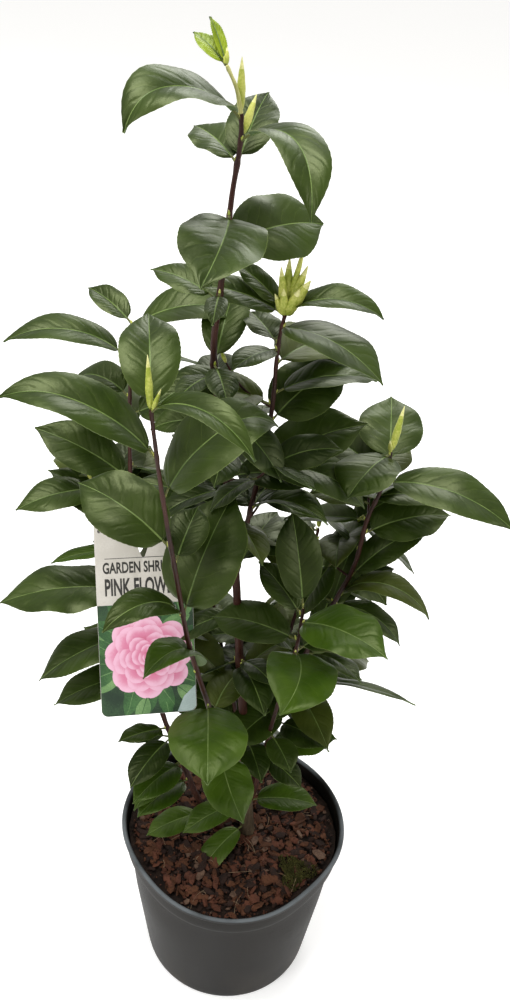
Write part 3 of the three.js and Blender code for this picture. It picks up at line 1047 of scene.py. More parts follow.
DEEP, DARK, OLIVE, FRESH, YOUNG = Tone
SHOOTS = (
    Shoot(
        "main_stem",
        (
            "crown_tip", "crown_upper", "crown_middle", "main_stem_middle",
            "foot_left", "foot_right", "foot_front",
        ),
        (
            Leaf(924, 140, 27, 31, 17, 25, -10, YOUNG, fold=14, stalk=3),
            Leaf(924, 124, 49, 31, 9, 20, 0, YOUNG, fold=22, stalk=3),
            Leaf(891, 223, 3, 89, 44, 78, -16, DEEP, fold=15, stalk=9, hook=42),
            Leaf(876, 300, -15, 89, 36, 116, 2, DEEP, fold=16, sweep=-56, stalk=9),
            Leaf(860, 122, 7, 60, 34, 30, -12, DEEP),
            Leaf(860, 74, 28, 66, 36, 30, 6, DARK),
            Leaf(825, 262, -9, 88, 62, 34, -6, DEEP, fold=16, sweep=-24),
            Leaf(802, 36, 2, 82, 60, 40, 34, DEEP, fold=8),
            Leaf(758, 153, 9, 57, 30, 36, -14, DEEP),
            Leaf(765, 267, -6, 41, 17, 40, 0, DARK),
            Leaf(703, 79, 33, 74, 38, 30, 0, DEEP),
            Leaf(703, 286, -8, 46, 26, 40, 0, DARK),
            Leaf(694, 239, 0, 46, 24, 40, 0, DARK),
            Leaf(563, 176, 16, 82, 40, 40, -10, DARK),
            Leaf(465, 203, -18, 60, 30, 40, 0, DARK),
            Leaf(400, 104, -19, 46, 24, 40, 0, DARK),
            Leaf(408, 290, 4, 69, 36, 50, 0, DARK),
            Leaf(410, 305, 14, 55, 26, 50, 0, DARK),
            Leaf(310, 288, 1, 55, 30, 50, 0, DEEP),
            Leaf(214, 207, -16, 68, 34, 40, 0, FRESH),
            Leaf(180, 226, -25, 69, 30, 60, 0, FRESH),
        ),
        (Bud(924, 96, 74, 10, 3.4), Bud(878, 60, 56, 27, 6.0), Bud(894, 105, 86, 33, 6.4)),
        first=395, last=790, turn=40, open_from=1, open_to=359, size=66, pace=11, twigs=3,
        tones=(DARK, DARK, DEEP, DARK, OLIVE), parent="", old_below=300.0, young_tip=31.0,
    ),
    Shoot(
        "left_rear_stem",
        ("left_rear_top", "left_rear_upper", "left_rear_lower"),
        (
            Leaf(682, 189, 10, 98, 38, 85, -8, DEEP, fold=14, stalk=13),
            Leaf(712, 141, 16, 52, 26, 34, -15, DEEP, fold=20),
            Leaf(712, 3, 5, 80, 44, 60, 14, DEEP, fold=16, hook=30),
            Leaf(645, 147, -2, 57, 36, 74, -20, DEEP),
            Leaf(568, 168, 22, 90, 48, 30, -26, DEEP),
            Leaf(515, 167, 33, 86, 46, 40, -16, DEEP),
            Leaf(453, 195, 1, 120, 62, 44, -6, DEEP, fold=8),
            Leaf(494, 196, -3, 69, 20, 40, 0, FRESH),
            Leaf(409, 208, -13, 101, 50, 50, 0, DEEP),
            Leaf(366, 203, -8, 92, 46, 46, 0, DEEP),
            Leaf(191, 203, -11, 62, 34, 40, 0, FRESH, fold=8),
            Leaf(259, 234, 4, 69, 38, 50, 0, FRESH, fold=8),
            Leaf(292, 240, -8, 65, 34, 50, 0, DARK),
            Leaf(239, 231, 5, 69, 36, 50, 0, FRESH),
            Leaf(262, 232, -14, 66, 24, 40, 0, FRESH),
            Leaf(292, 173, -11, 46, 26, 30, 0, DEEP),
            Leaf(302, 213, 9, 51, 24, 30, 0, DEEP),
            Leaf(318, 142, -20, 34, 22, 20, 0, DARK),
        ),
        (),
        first=330, last=690, turn=80, open_from=10, open_to=175, size=84, pace=10, twigs=3, parent="",
    ),
    Shoot(
        "left_front_stem",
        ("left_front_top", "left_front_upper", "left_front_middle", "left_front_lower"),
        (
            Leaf(730, 98, 25, 79, 44, 60, 0, DEEP, fold=10),
            Leaf(690, 182, 22, 109, 46, 62, -14, DEEP, fold=16, hook=20),
            Leaf(730, 325, -1, 84, 25, 96, 14, DEEP, fold=24),
            Leaf(654, 26, 26, 94, 60, 70, 10, DEEP, fold=10, hook=46),
            Leaf(604, 150, 15, 88, 56, 40, -26, DEEP),
            Leaf(584, 74, 25, 52, 36, 30, 0, DARK),
            Leaf(531, 60, 50, 103, 72, 40, 0, DEEP, fold=10),
            Leaf(531, 221, 16, 74, 32, 112, -10, DEEP),
            Leaf(455, 231, 31, 70, 36, 140, 0, FRESH, fold=18),
            Leaf(407, 274, 0, 85, 70, 60, 0, FRESH, fold=8),
            Leaf(334, 290, -11, 74, 48, 50, 0, FRESH, fold=8, sweep=34),
        ),
        (Bud(730, 120, 84, 38, 5.6), Bud(730, 330, 70, 20, 3.6)),
        first=330, last=620, turn=10, open_from=60, open_to=120, size=70, pace=20, twigs=0,
    ),
    Shoot(
        "upper_right_bough",
        ("bough_top", "bough_middle", "bough_lower"),
        (
            Leaf(748, 177, 15, 67, 34, 40, -14, DEEP),
            Leaf(750, 153, 31, 51, 24, 30, -10, DEEP),
            Leaf(750, 352, 3, 70, 32, 80, 10, DEEP, fold=20),
            Leaf(738, 328, -11, 88, 54, 56, -4, DEEP, stalk=3),
            Leaf(721, 120, 9, 46, 30, 30, 0, DARK),
            Leaf(718, 232, 3, 51, 28, 40, 0, DEEP),
            Leaf(653, 36, 26, 78, 56, 40, 22, DEEP, fold=8),
            Leaf(609, 11, 25, 90, 56, 40, 22, DEEP),
            Leaf(606, 346, -9, 87, 46, 90, 10, DEEP),
            Leaf(590, 42, -10, 69, 34, 40, 10, DARK),
            Leaf(572, 327, 14, 74, 30, 84, 0, DEEP, fold=24),
            Leaf(512, 66, 6, 76, 38, 40, 0, DEEP),
            Leaf(667, 169, 0, 84, 44, 40, -16, OLIVE),
        ),
        (
            Bud(750, 40, 76, 51, 5.6),
            Bud(750, 15, 70, 37, 8.6),
            Bud(750, 350, 60, 30, 11.0),
            Bud(750, 170, 82, 34, 7.4),
            Bud(748, 330, 68, 25, 10.5),
            Bud(748, 250, 76, 24, 8.0),
            Bud(749, 90, 76, 38, 9.0),
            Bud(748, 200, 66, 19, 6.5),
        ),
        first=520, last=735, turn=100, open_from=10, open_to=175, size=82, pace=10,
    ),
    Shoot(
        "right_stem",
        ("right_top", "right_middle", "right_lower"),
        (
            Leaf(283, 355, 19, 69, 46, 40, 8, FRESH, fold=8),
            Leaf(443, 63, 51, 83, 37, 30, 0, DEEP),
            Leaf(612, 87, 15, 76, 58, 20, 0, DEEP, fold=8),
            Leaf(621, 236, -8, 64, 56, 50, 6, DEEP),
            Leaf(589, 338, -5, 110, 50, 60, 12, DEEP),
            Leaf(531, 18, 6, 80, 48, 40, 24, DEEP),
            Leaf(485, 16, 36, 87, 38, 40, 14, DEEP),
            Leaf(475, 33, 0, 55, 26, 30, 10, DARK),
            Leaf(466, 338, 4, 82, 34, 130, 0, OLIVE),
            Leaf(453, 334, -14, 68, 30, 90, 0, DEEP),
            Leaf(366, 347, 2, 113, 28, 40, -28, DEEP),
            Leaf(335, 228, -4, 70, 46, 44, -6, DEEP),
            Leaf(312, 322, 8, 58, 40, 44, 6, DEEP),
        ),
        (Bud(623, 60, 70, 38, 7.0), Bud(623, 250, 62, 18, 4.0)),
        first=340, last=600, turn=60, open_from=0, open_to=165, size=84, pace=10, twigs=3,
    ),
    Shoot(
        "right_front_stem",
        ("right_front_top", "right_front_lower"),
        (
            Leaf(222, 357, 3, 66, 40, 50, -2, FRESH, fold=16),
            Leaf(453, 262, 7, 85, 66, 40, -10, FRESH, fold=18, sweep=-50),
            Leaf(486, 324, 8, 84, 56, 50, 10, FRESH, stalk=2),
            Leaf(465, 161, -2, 79, 46, 40, -14, DEEP),
            Leaf(502, 106, 50, 80, 42, 30, 0, DARK),
            Leaf(494, 138, 28, 58, 34, 30, 0, DEEP),
            Leaf(336, 296, -4, 46, 30, 44, 0, DEEP),
            Leaf(300, 322, -10, 46, 30, 40, 0, DARK),
        ),
        (),
        first=300, last=480, turn=140, open_from=20, open_to=160, size=66, pace=22, twigs=0,
    ),
    Shoot(
        "rear_left_stem",
        ("rear_left_upper", "rear_left_lower"),
        (),
        (Bud(480, 90, 70, 18, 5.5),),
        first=290, last=482, turn=30, open_from=0, open_to=215, size=88, pace=8, twigs=4,
    ),
    Shoot(
        "rear_right_stem",
        ("rear_right_upper", "rear_right_lower"),
        (),
        (Bud(500, 90, 70, 18, 5.5),),
        first=290, last=502, turn=150, open_from=325, open_to=180, size=88, pace=8, twigs=4,
    ),
)


@dataclass(frozen=True)
class Gap:
    """A way through the crown that its leaves leave open, in millimetres."""

    front: tuple[float, float, float]
    back: tuple[float, float, float]
    radius: float

    def clears(self, points: np.ndarray) -> np.ndarray:
        """Tells which points keep out of the gap.

        Args:
            points: Points in millimetres.

        Returns:
            A yes or no for each.
        """
        start, run = np.array(self.front), np.array(self.back) - np.array(self.front)
        share = np.clip((points - start) @ run / (run @ run), 0, 1)[:, None]
        return np.linalg.norm(points - start - share * run, axis=1) > self.radius


@dataclass(frozen=True)
class Room:
    """Where added leaves may lie: clear of the label and the gaps, and inside the crown. Millimetres."""

    label_left: float = -134.0
    label_right: float = -40.0
    label_middle: float = 472.0
    label_reach: float = 90.0
    card_depth: float = -15.0
    card_height: float = 470.0
    card_lean: float = 32.0
    card_margin: float = 14.0
    crown_rear: float = 152.0
    gaps: tuple[Gap, ...] = (
        Gap((0, -30, 528), (0, 150, 377), 30),
        Gap((-105, -30, 738), (-134, 150, 643), 24),
        Gap((-46, -30, 749), (-58, 150, 657), 22),
        Gap((-9, -30, 738), (-11, 150, 643), 18),
    )

    def holds(self, leaf: Leaf, node: np.ndarray) -> bool:
        """Tells whether a leaf fits.

        Args:
            leaf: The leaf.
            node: Where it leaves its stem, in metres.

        Returns:
            Whether all of its midrib has room.
        """
        line = spine(leaf, 9)[0] + node / MM
        card = self.card_depth + (line[:, 2] - self.card_height) * math.tan(math.radians(self.card_lean))
        clear = (line[:, 0] < self.label_left) | (line[:, 0] > self.label_right)
        clear |= np.abs(line[:, 2] - self.label_middle) > self.label_reach
        clear |= line[:, 1] > card + self.card_margin
        for gap in self.gaps:
            clear &= gap.clears(line)
        return bool(np.all(clear) and line[-1, 1] < self.crown_rear)


ROOM = Room()
NODE_SWELLING = 0.4 * MM
NODE_LENGTH = 3 * MM


class Shrub:
    """The stems, twigs, leaves and buds, grown along the frame's stem solids."""

    def __init__(
        self, nodes: dict[str, bpy.types.Object], materials: Materials, seed: int = 33
    ) -> None:
        """Reads the limbs out of the frame and sets out what they carry.

        Args:
            nodes: The frame's nodes by name.
            materials: Every finish's material, by name.
            seed: Starts the order of small differences.
        """
        self.materials = materials
        self.rng = np.random.default_rng(seed)
        self.limbs: dict[str, Limb] = {}
        for shoot in SHOOTS:
            self.limbs[shoot.limb] = self._limb(shoot, nodes[shoot.limb])
        self.twigs: list[Limb] = []
        self.tips: list[tuple[np.ndarray, Bud]] = []
        self.held: dict[str, list[tuple[np.ndarray, Leaf]]] = {}
        for shoot in SHOOTS:
            limb = self.limbs[shoot.limb]
            added = [(self.node_on(limb, leaf), leaf) for leaf in shoot.extra_leaves(self.rng)]
            self.held[shoot.limb] = [(self.node_on(limb, leaf), leaf) for leaf in shoot.leaves]
            self.held[shoot.limb] += [(node, leaf) for node, leaf in added if ROOM.holds(leaf, node)]
            self.tips += [(self.node_on(limb, bud), bud) for bud in shoot.buds]
            for node, leaf in self.held[shoot.limb]:
                self.tips.append((node, Bud(0, leaf.bearing, 66, self.rng.uniform(3.5, 6), 2.2)))
            self._grow_twigs(shoot)

    def _limb(self, shoot: Shoot, node: bpy.types.Object) -> Limb:
        """Runs a smooth limb through a stem solid's rings, from inside its parent or the compost.

        Args:
            shoot: The shoot that grows along it.
            node: The stem solid.

        Returns:
            The limb.
        """
        middles, radii, lowest = level_rings(node)
        if shoot.parent:
            foot, _ = self.limbs[shoot.parent].at(lowest[2] - 2 * MM)
        else:
            foot = middles[0] - np.array([0.0, 0.0, 10 * MM])
        return Limb.through(np.vstack([foot, middles]), np.concatenate([radii[:1], radii]))

    def _grow_twigs(self, shoot: Shoot) -> None:
        """Grows short side twigs into the open side of a limb, each with a few leaves and an end bud.

        Args:
            shoot: The shoot that grows along the limb.
        """
        rng = self.rng
        span = (shoot.open_to - shoot.open_from) % 360
        for step in range(shoot.twigs):
            share = (step + rng.uniform(0.3, 0.7)) / shoot.twigs
            foot, _ = self.limbs[shoot.limb].at((shoot.first + share * (shoot.last - shoot.first)) * MM)
            bearing = shoot.open_from + span * ((0.3 + 0.618 * step) % 1.0)
            out, rise = heading(bearing), np.array([0.0, 0.0, 1.0])
            length = rng.uniform(34, 54) * MM
            elbow = foot + length * (0.5 * out + 0.22 * rise)
            points = np.array([foot, elbow, foot + length * (0.8 * out + 0.6 * rise)])
            twig = Limb.through(points, np.array([1.2, 1.0, 0.8]) * MM)
            end_bud = Bud(0, bearing, 62, rng.uniform(9, 14), 3.4)
            leaves = []
            for place, turn in ((0.4, 95), (0.62, -100), (0.84, 40), (1.0, -25)):
                reach = shoot.size * rng.uniform(0.66, 0.96)
                leaf = Leaf(
                    0, bearing + turn + rng.uniform(-16, 16), rng.uniform(-30, 24), reach,
                    reach * rng.uniform(0.48, 0.60), rng.uniform(24, 62), rng.uniform(-28, 28),
                    shoot.tones[rng.integers(len(shoot.tones))],
                    fold=rng.uniform(6, 18), sweep=rng.uniform(-16, 16), stalk=5.0,
                )
                node = twig.line[int(place * (len(twig.line) - 1))]
                if ROOM.holds(leaf, node):
                    leaves.append((node, leaf))
            if len(leaves) > 1:
                self.twigs.append(twig)
                self.tips.append((twig.line[-1], end_bud))
                self.held[shoot.limb] += leaves

    @staticmethod
    def node_on(limb: Limb, held: Leaf | Bud) -> np.ndarray:
        """The point just under a limb's bark where a leaf or bud starts."""
        middle, radius = limb.at(held.height * MM)
        return middle + heading(held.bearing) * radius * 0.7

    def make_stem(self, shoot: Shoot) -> bpy.types.Object:
        """Models one stem with its swollen nodes and rough bark.

        Args:
            shoot: The shoot that grows along it.

        Returns:
            The stem's object.
        """
        name, limb = shoot.limb, self.limbs[shoot.limb]
        heights, radius = limb.line[:, 2], limb.radius.copy()
        for _, leaf in self.held[name]:
            radius += NODE_SWELLING * np.exp(-(((heights - leaf.height * MM) / NODE_LENGTH) ** 2))
        radius *= np.interp(heights, (0.17, 0.30), (1.0, 0.82))
        radius[-1] *= 0.6
        curve = bpy.data.curves.new(f"{name}_bark", "CURVE")
        curve.dimensions = "3D"
        curve.bevel_depth = 1.0
        curve.bevel_resolution = 4
        curve.use_fill_caps = True
        spline = curve.splines.new("POLY")
        spline.points.add(len(limb.line) - 1)
        spline.points.foreach_set("co", np.column_stack([limb.line, np.ones(len(limb.line))]).ravel())
        spline.points.foreach_set("radius", radius)
        only(add_to_scene(f"{name}_bark", curve))
        bpy.ops.object.convert(target="MESH")
        stem = bpy.context.object
        with editing(stem):
            bpy.ops.mesh.remove_doubles(threshold=0.01 * MM)
            bpy.ops.mesh.normals_make_consistent(inside=False)
        add_relief(stem, f"{name}_relief", 6 * MM, 0.6 * MM)
        stem.data.materials.clear()
        for finish in (OLD_BARK, BARK, YOUNG_BARK):
            stem.data.materials.append(self.materials[finish.name])
        centres = np.empty(len(stem.data.polygons) * 3)
        stem.data.polygons.foreach_get("center", centres)
        changes = (shoot.old_below * MM, heights[-1] - shoot.young_tip * MM)
        ages = np.digitize(centres.reshape(-1, 3)[:, 2], changes)
        stem.data.polygons.foreach_set("material_index", ages.astype(np.int32))
        smooth_by_angle(stem, 60.0)
        return stem

    def make_leaves(self, shoot: Shoot) -> bpy.types.Object:
        """Models all leaves of one shoot.

        Args:
            shoot: The shoot.

        Returns:
            One joined object.
        """
        sheaf = Sheaf(f"{shoot.limb}_leaves", LEAF_SLOTS)
        for node, leaf in self.held[shoot.limb]:
            sheaf.add(*blade(leaf, node, self.rng))
        return sheaf.to_object(self.materials)

    def make_twigs(self) -> bpy.types.Object:
        """Models all side twigs.

        Returns:
            One joined object.
        """
        sheaf = Sheaf("twigs", (BARK,))
        for twig in self.twigs:
            way = unit(np.gradient(twig.line, axis=0))
            right = unit(np.cross(way, np.array([0.0, 0.0, 1.0])))
            up = np.cross(right, way)
            points, quads = tube(twig.line, right, up, len(twig.line), 0.95 * MM, 8, 12)
            sheaf.add(points, quads, np.zeros(len(quads)), plain_spots(points))
        return sheaf.to_object(self.materials)

    def make_buds(self) -> bpy.types.Object:
        """Models all buds.

        Returns:
            One joined object.
        """
        sheaf = Sheaf("buds", LEAF_SLOTS)
        for node, bud in self.tips:
            sheaf.add(*bud.shape(node))
        return sheaf.to_object(self.materials)


def add_relief(target: bpy.types.Object, name: str, grain: float, depth: float) -> None:
    """Roughens an object's mesh with cloudy relief.

    Args:
        target: The object.
        name: A name for the pattern.
        grain: The size of its bumps, in metres.
        depth: How far they reach from low to high, in metres.
    """
    pattern = bpy.data.textures.new(name, "CLOUDS")
    pattern.noise_scale = grain
    pattern.noise_depth = 2
    relief = target.modifiers.new(name, "DISPLACE")
    relief.texture = pattern
    relief.texture_coords = "LOCAL"
    relief.strength = depth
    relief.mid_level = 0.5
    only(target)
    bpy.ops.object.modifier_apply(modifier=name)


# ------------------------------------------------------------------ the pot and what fills it
def raise_wall(name: str, profile: Sequence[tuple[float, float]], sides: int) -> bpy.types.Object:
    """Raises a closed round body from a disc, one ring after another.

    Args:
        name: The object's name.
        profile: Radius and height of each ring, in millimetres.
        sides: Corners of each ring.

    Returns:
        The object.
    """
    bpy.ops.object.select_all(action="DESELECT")
    bpy.ops.mesh.primitive_circle_add(vertices=sides, radius=profile[0][0] * MM, fill_type="NGON")
    made = bpy.context.object
    made.name = name
    with editing(made):
        for (radius, height), (next_radius, next_height) in zip(profile, profile[1:], strict=False):
            rise = (0.0, 0.0, (next_height - height) * MM)
            bpy.ops.mesh.extrude_region_move(TRANSFORM_OT_translate={"value": rise})
            share = next_radius / radius
            bpy.ops.transform.resize(value=(share, share, 1.0))
        bpy.ops.mesh.select_all(action="SELECT")
        bpy.ops.mesh.normals_make_consistent(inside=False)
    return made


SQUEEZES = ((218.0, 28.0, 5.6), (318.0, 24.0, 6.0), (60.0, 36.0, 3.0))  # bearing, spread, depth


def pressed(points: np.ndarray) -> np.ndarray:
    """Where points of the pot or its filling lie once the rim has been squeezed a little out of round.

    Args:
        points: Points in metres.

    Returns:
        The moved points.
    """
    turn = np.degrees(np.arctan2(points[:, 1], points[:, 0]))
    high = np.clip((points[:, 2] - 0.10) / 0.075, 0, 1)
    high = high * high * (3 - 2 * high)
    inward = np.zeros(len(points))
    for bearing, spread, depth in SQUEEZES:
        apart = (turn - bearing + 180) % 360 - 180
        inward += depth * MM * np.exp(-((apart / spread) ** 2))
    reach = np.maximum(np.linalg.norm(points[:, :2], axis=1), 1e-6)
    share = 1 - inward * high * np.clip(reach / 0.10, 0, 1) / reach
    return np.column_stack([points[:, 0] * share, points[:, 1] * share, points[:, 2]])


def press(target: bpy.types.Object) -> None:
    """Squeezes an object with the pot's rim.

    Args:
        target: The object.
    """
    places = np.empty(len(target.data.vertices) * 3)
    target.data.vertices.foreach_get("co", places)
    target.data.vertices.foreach_set("co", pressed(places.reshape(-1, 3)).ravel())
    target.data.update()


@dataclass
class Pot:
    """The round moulded nursery pot. Sizes are in millimetres."""

    materials: Materials
    height: float
    lip_radius: float
    foot_radius: float = 87.0
    step_radius: float = 106.0
    collar_radius: float = 110.5
    wall: float = 2.0
    floor: float = 3.0
    collar_depth: float = 27.0
    lip_depth: float = 5.0
    sides: int = 144

    def profile(self) -> list[tuple[float, float]]:
        """Sets out the wall, up the outside, over the lip and down the inside.

        Returns:
            The radius and height of each ring.
        """
        step = self.height - self.collar_depth
        lip = self.height - self.lip_depth
        slope = (self.step_radius - self.foot_radius) / step
        outside = [(self.foot_radius - 2.0, 0.0), (self.foot_radius - 0.6, 0.5), (self.foot_radius, 2.0)]
        outside += [(self.foot_radius + slope * z, z) for z in (8, 24, 40, 56, 72, 88, 104, 120, 136, 146)]
        outside += [
            (self.step_radius, step - 2.5), (self.step_radius + 0.8, step - 0.8),
            (self.step_radius + 2.6, step + 0.5), (self.collar_radius - 0.5, step + 1.6),
            (self.collar_radius, step + 3.4), (self.collar_radius + 0.4, step + 8),
            (self.collar_radius + 0.9, step + 14), (self.collar_radius + 1.3, lip - 1.6),
            (self.lip_radius - 1.6, lip - 0.5), (self.lip_radius - 0.4, lip + 0.4),
            (self.lip_radius, lip + 1.8), (self.lip_radius, self.height - 1.7),
            (self.lip_radius - 0.5, self.height - 0.6), (self.lip_radius - 1.5, self.height),
            (self.lip_radius - 2.6, self.height - 0.1), (self.lip_radius - 3.4, self.height - 0.8),
            (self.collar_radius - 0.2, self.height - 2.4),
        ]
        inside = [
            (self.collar_radius - self.wall + 1.0, step + 14), (self.collar_radius - self.wall, step + 3),
            (self.collar_radius - self.wall - 1.5, step), (self.step_radius - self.wall, step - 3),
            (self.foot_radius - self.wall + slope * 70, 70.0), (self.foot_radius - self.wall, self.floor),
        ]
        return outside + inside

    def make(self) -> bpy.types.Object:
        """Models the pot.

        Returns:
            The pot's object.
        """
        pot = raise_wall("pot_shell", self.profile(), self.sides)
        pick_faces(pot, lambda face: face.center.z < 0.5 * MM and len(face.vertices) == self.sides)
        with editing(pot, everything=False):
            for foot_ring, floor_ring, lift in ((7.0, 1.5, 1.6), (30.0, 1.2, -0.8)):
                bpy.ops.mesh.inset(thickness=foot_ring * MM)
                bpy.ops.mesh.inset(thickness=floor_ring * MM)
                bpy.ops.transform.translate(value=(0, 0, lift * MM))
        press(pot)
        pot.data.materials.append(self.materials[PotFinish.name])
        smooth_by_angle(pot, 40.0)
        return pot


CHIP_FINISHES = (
    MatteFinish("chip_dark", (0.012, 0.006, 0.004), (0.032, 0.015, 0.010), 0.85, 260.0, depth=0.0006),
    MatteFinish("chip_red", (0.054, 0.018, 0.0092), (0.112, 0.039, 0.021), 0.80, 240.0, depth=0.0006),
    MatteFinish("chip_brown", (0.048, 0.018, 0.0078), (0.106, 0.041, 0.0195), 0.85, 220.0, depth=0.0006),
    MatteFinish("chip_tan", (0.075, 0.043, 0.028), (0.16, 0.095, 0.064), 0.8, 240.0, depth=0.0005),
    MatteFinish("fibre_pale", (0.17, 0.11, 0.065), (0.30, 0.21, 0.13), 0.8, 300.0),
    MatteFinish("moss", (0.030, 0.031, 0.006), (0.088, 0.084, 0.020), 0.9, 400.0),
)
SLOT_FIBRE, SLOT_MOSS = 4, 5
SOIL = MatteFinish("soil", (0.008, 0.005, 0.004), (0.028, 0.016, 0.011), 0.95, 320.0, depth=0.0012)
CHIP_CORNERS = 6
CHIP_QUADS = prism_quads(3, CHIP_CORNERS)
CRUMB = np.array([[1, 0, 0], [0, 1, 0], [-1, 0, 0], [0, -1, 0], [0, 0, 0.8], [0, 0, -0.8]])
CRUMB_QUADS = np.array([
    (0, 1, 4, 4), (1, 2, 4, 4), (2, 3, 4, 4), (3, 0, 4, 4),
    (1, 0, 5, 5), (2, 1, 5, 5), (3, 2, 5, 5), (0, 3, 5, 5),
])
TUFT = np.array([[1, 0, 0], [-0.5, 0.87, 0], [-0.5, -0.87, 0], [0.2, 0.1, 2.2]])
TUFT_QUADS = np.array([(0, 1, 3, 3), (1, 2, 3, 3), (2, 0, 3, 3), (0, 2, 1, 1)])


@dataclass
class Compost:
    """The dark compost with its bark chips, crumbs, fibres and a patch of moss. Millimetres."""

    materials: Materials
    level: float
    radius: float
    depth: float = 9.0
    chips: int = 1500
    crumbs: int = 1300
    fibres: int = 42
    tufts: int = 1000
    moss_at: tuple[float, float] = (66.0, -46.0)
    moss_radius: float = 24.0
    big_share: float = 0.28
    tone_shares: tuple[float, ...] = (0.32, 0.31, 0.34, 0.03)
    seed: int = 5

    def make_bed(self) -> bpy.types.Object:
        """Models the uneven bed under the chips.

        Returns:
            The bed's object.
        """
        low = self.level - self.depth
        shoulder = (self.radius - 0.8, self.level - 2.5)
        profile = [(self.radius - 2.0, low), shoulder, (self.radius - 0.3, self.level - 1.0)]
        bed = raise_wall("compost_bed", profile, 96)
        with editing(bed):
            bpy.ops.transform.translate(value=(0, 0, low * MM))
        top = max(face.center.z for face in bed.data.polygons)
        pick_faces(bed, lambda face: face.center.z == top)
        with editing(bed, everything=False):
            for _ in range(20):
                bpy.ops.mesh.inset(thickness=5 * MM)
            bpy.ops.mesh.poke()
        add_relief(bed, "bed_relief", 16 * MM, 4 * MM)
        press(bed)
        bed.data.materials.append(self.materials[SOIL.name])
        smooth_by_angle(bed, 60.0)
        return bed

    @staticmethod
    def _turned(points: np.ndarray, rng: np.random.Generator, tilt: float) -> np.ndarray:
        """Turns a piece any way round and tips it a little.

        Args:
            points: Its vertices.
            rng: Where the turn comes from.
            tilt: How far it tips as a rule, in radians.

        Returns:
            The turned vertices.
        """
        spin, lean, about = rng.uniform(0, 2 * np.pi), rng.normal(0, tilt), rng.uniform(0, 2 * np.pi)
        axis = np.array([math.cos(about), math.sin(about), 0.0])
        c, s = math.cos(spin), math.sin(spin)
        points = points @ np.array([[c, s, 0], [-s, c, 0], [0, 0, 1]])
        cos_lean, sin_lean = math.cos(lean), math.sin(lean)
        along = (points @ axis)[:, None] * axis
        return points * cos_lean + np.cross(axis, points) * sin_lean + along * (1 - cos_lean)

    def _spot(self, rng: np.random.Generator, margin: float) -> np.ndarray:
        """Picks a place on the compost.

        Args:
            rng: Where the place comes from.
            margin: How far it keeps from the wall.

        Returns:
            The place, in millimetres.
        """
        reach = (self.radius - margin) * math.sqrt(rng.random())
        turn = rng.uniform(0, 2 * np.pi)
        return np.array([reach * math.cos(turn), reach * math.sin(turn), self.level])

    def _chip(self, rng: np.random.Generator) -> tuple[np.ndarray, np.ndarray]:
        """Shapes one flat chip of bark and lays it down.

        Args:
            rng: Where its shape and place come from.

        Returns:
            Its vertices and faces.
        """
        big = rng.random() < self.big_share
        length = rng.uniform(10, 18) if big else rng.uniform(5.0, 11.0)
        width, thick = length * rng.uniform(0.40, 0.80), rng.uniform(1.0, 2.4)
        turn = 2 * np.pi * (np.arange(CHIP_CORNERS) + rng.uniform(-0.3, 0.3, CHIP_CORNERS)) / CHIP_CORNERS
        outline = np.stack([np.cos(turn) * length, np.sin(turn) * width], axis=1) / 2
        outline *= rng.uniform(0.72, 1.12, CHIP_CORNERS)[:, None]
        rings = [
            np.column_stack([outline * size, high * thick + rng.uniform(-0.3, 0.3, CHIP_CORNERS)])
            for size, high in ((0.82, -0.5), (1.0, -0.05), (0.84, 0.5))
        ]
        points = self._turned(np.concatenate(rings), rng, 0.34)
        lift = rng.uniform(-0.6, 2.6) + (1.4 if big else 0.0)
        return points + self._spot(rng, 2.5 + length / 2) + np.array([0, 0, lift]), CHIP_QUADS

    def _crumb(self, rng: np.random.Generator) -> tuple[np.ndarray, np.ndarray]:
        """Shapes one crumb and lays it down.

        Args:
            rng: Where its shape and place come from.

        Returns:
            Its vertices and faces.
        """
        size = rng.uniform(0.9, 2.4)
        points = self._turned(CRUMB * size * rng.uniform(0.6, 1.2, (6, 1)), rng, 0.8)
        return points + self._spot(rng, 3.0) + np.array([0, 0, rng.uniform(0.5, 3.2)]), CRUMB_QUADS

    def make_chips(self) -> bpy.types.Object:
        """Scatters the chips and crumbs.

        Returns:
            One joined object.
        """
        rng = np.random.default_rng(self.seed)
        sheaf = Sheaf("bark_chips", CHIP_FINISHES)
        for shape in [self._chip] * self.chips + [self._crumb] * self.crumbs:
            points, quads = shape(rng)
            slot = int(rng.choice(len(self.tone_shares), p=self.tone_shares))
            sheaf.add(pressed(points * MM), quads, np.full(len(quads), slot), plain_spots(points))
        return sheaf.to_object(self.materials)

    def _fibre(self, rng: np.random.Generator) -> tuple[np.ndarray, np.ndarray]:
        """Shapes one bent fibre and lays it down.

        Args:
            rng: Where its shape and place come from.

        Returns:
            Its vertices and faces.
        """
        length, rows, sides = rng.uniform(7, 26), 7, 4
        along = np.linspace(-0.5, 0.5, rows)
        bend = rng.uniform(-0.25, 0.25) * length
        line = np.stack([along * length, bend * (1 - 4 * along**2), 1.2 * np.cos(along * 5)], axis=1)
        turn = 2 * np.pi * np.arange(sides) / sides
        ring = np.stack([np.zeros(sides), np.cos(turn), np.sin(turn)], axis=1) * rng.uniform(0.16, 0.34)
        points = self._turned((line[:, None, :] + ring[None]).reshape(-1, 3), rng, 0.12)
        points += self._spot(rng, 15.0) + np.array([0, 0, rng.uniform(2, 4)])
        return points, prism_quads(rows, sides)

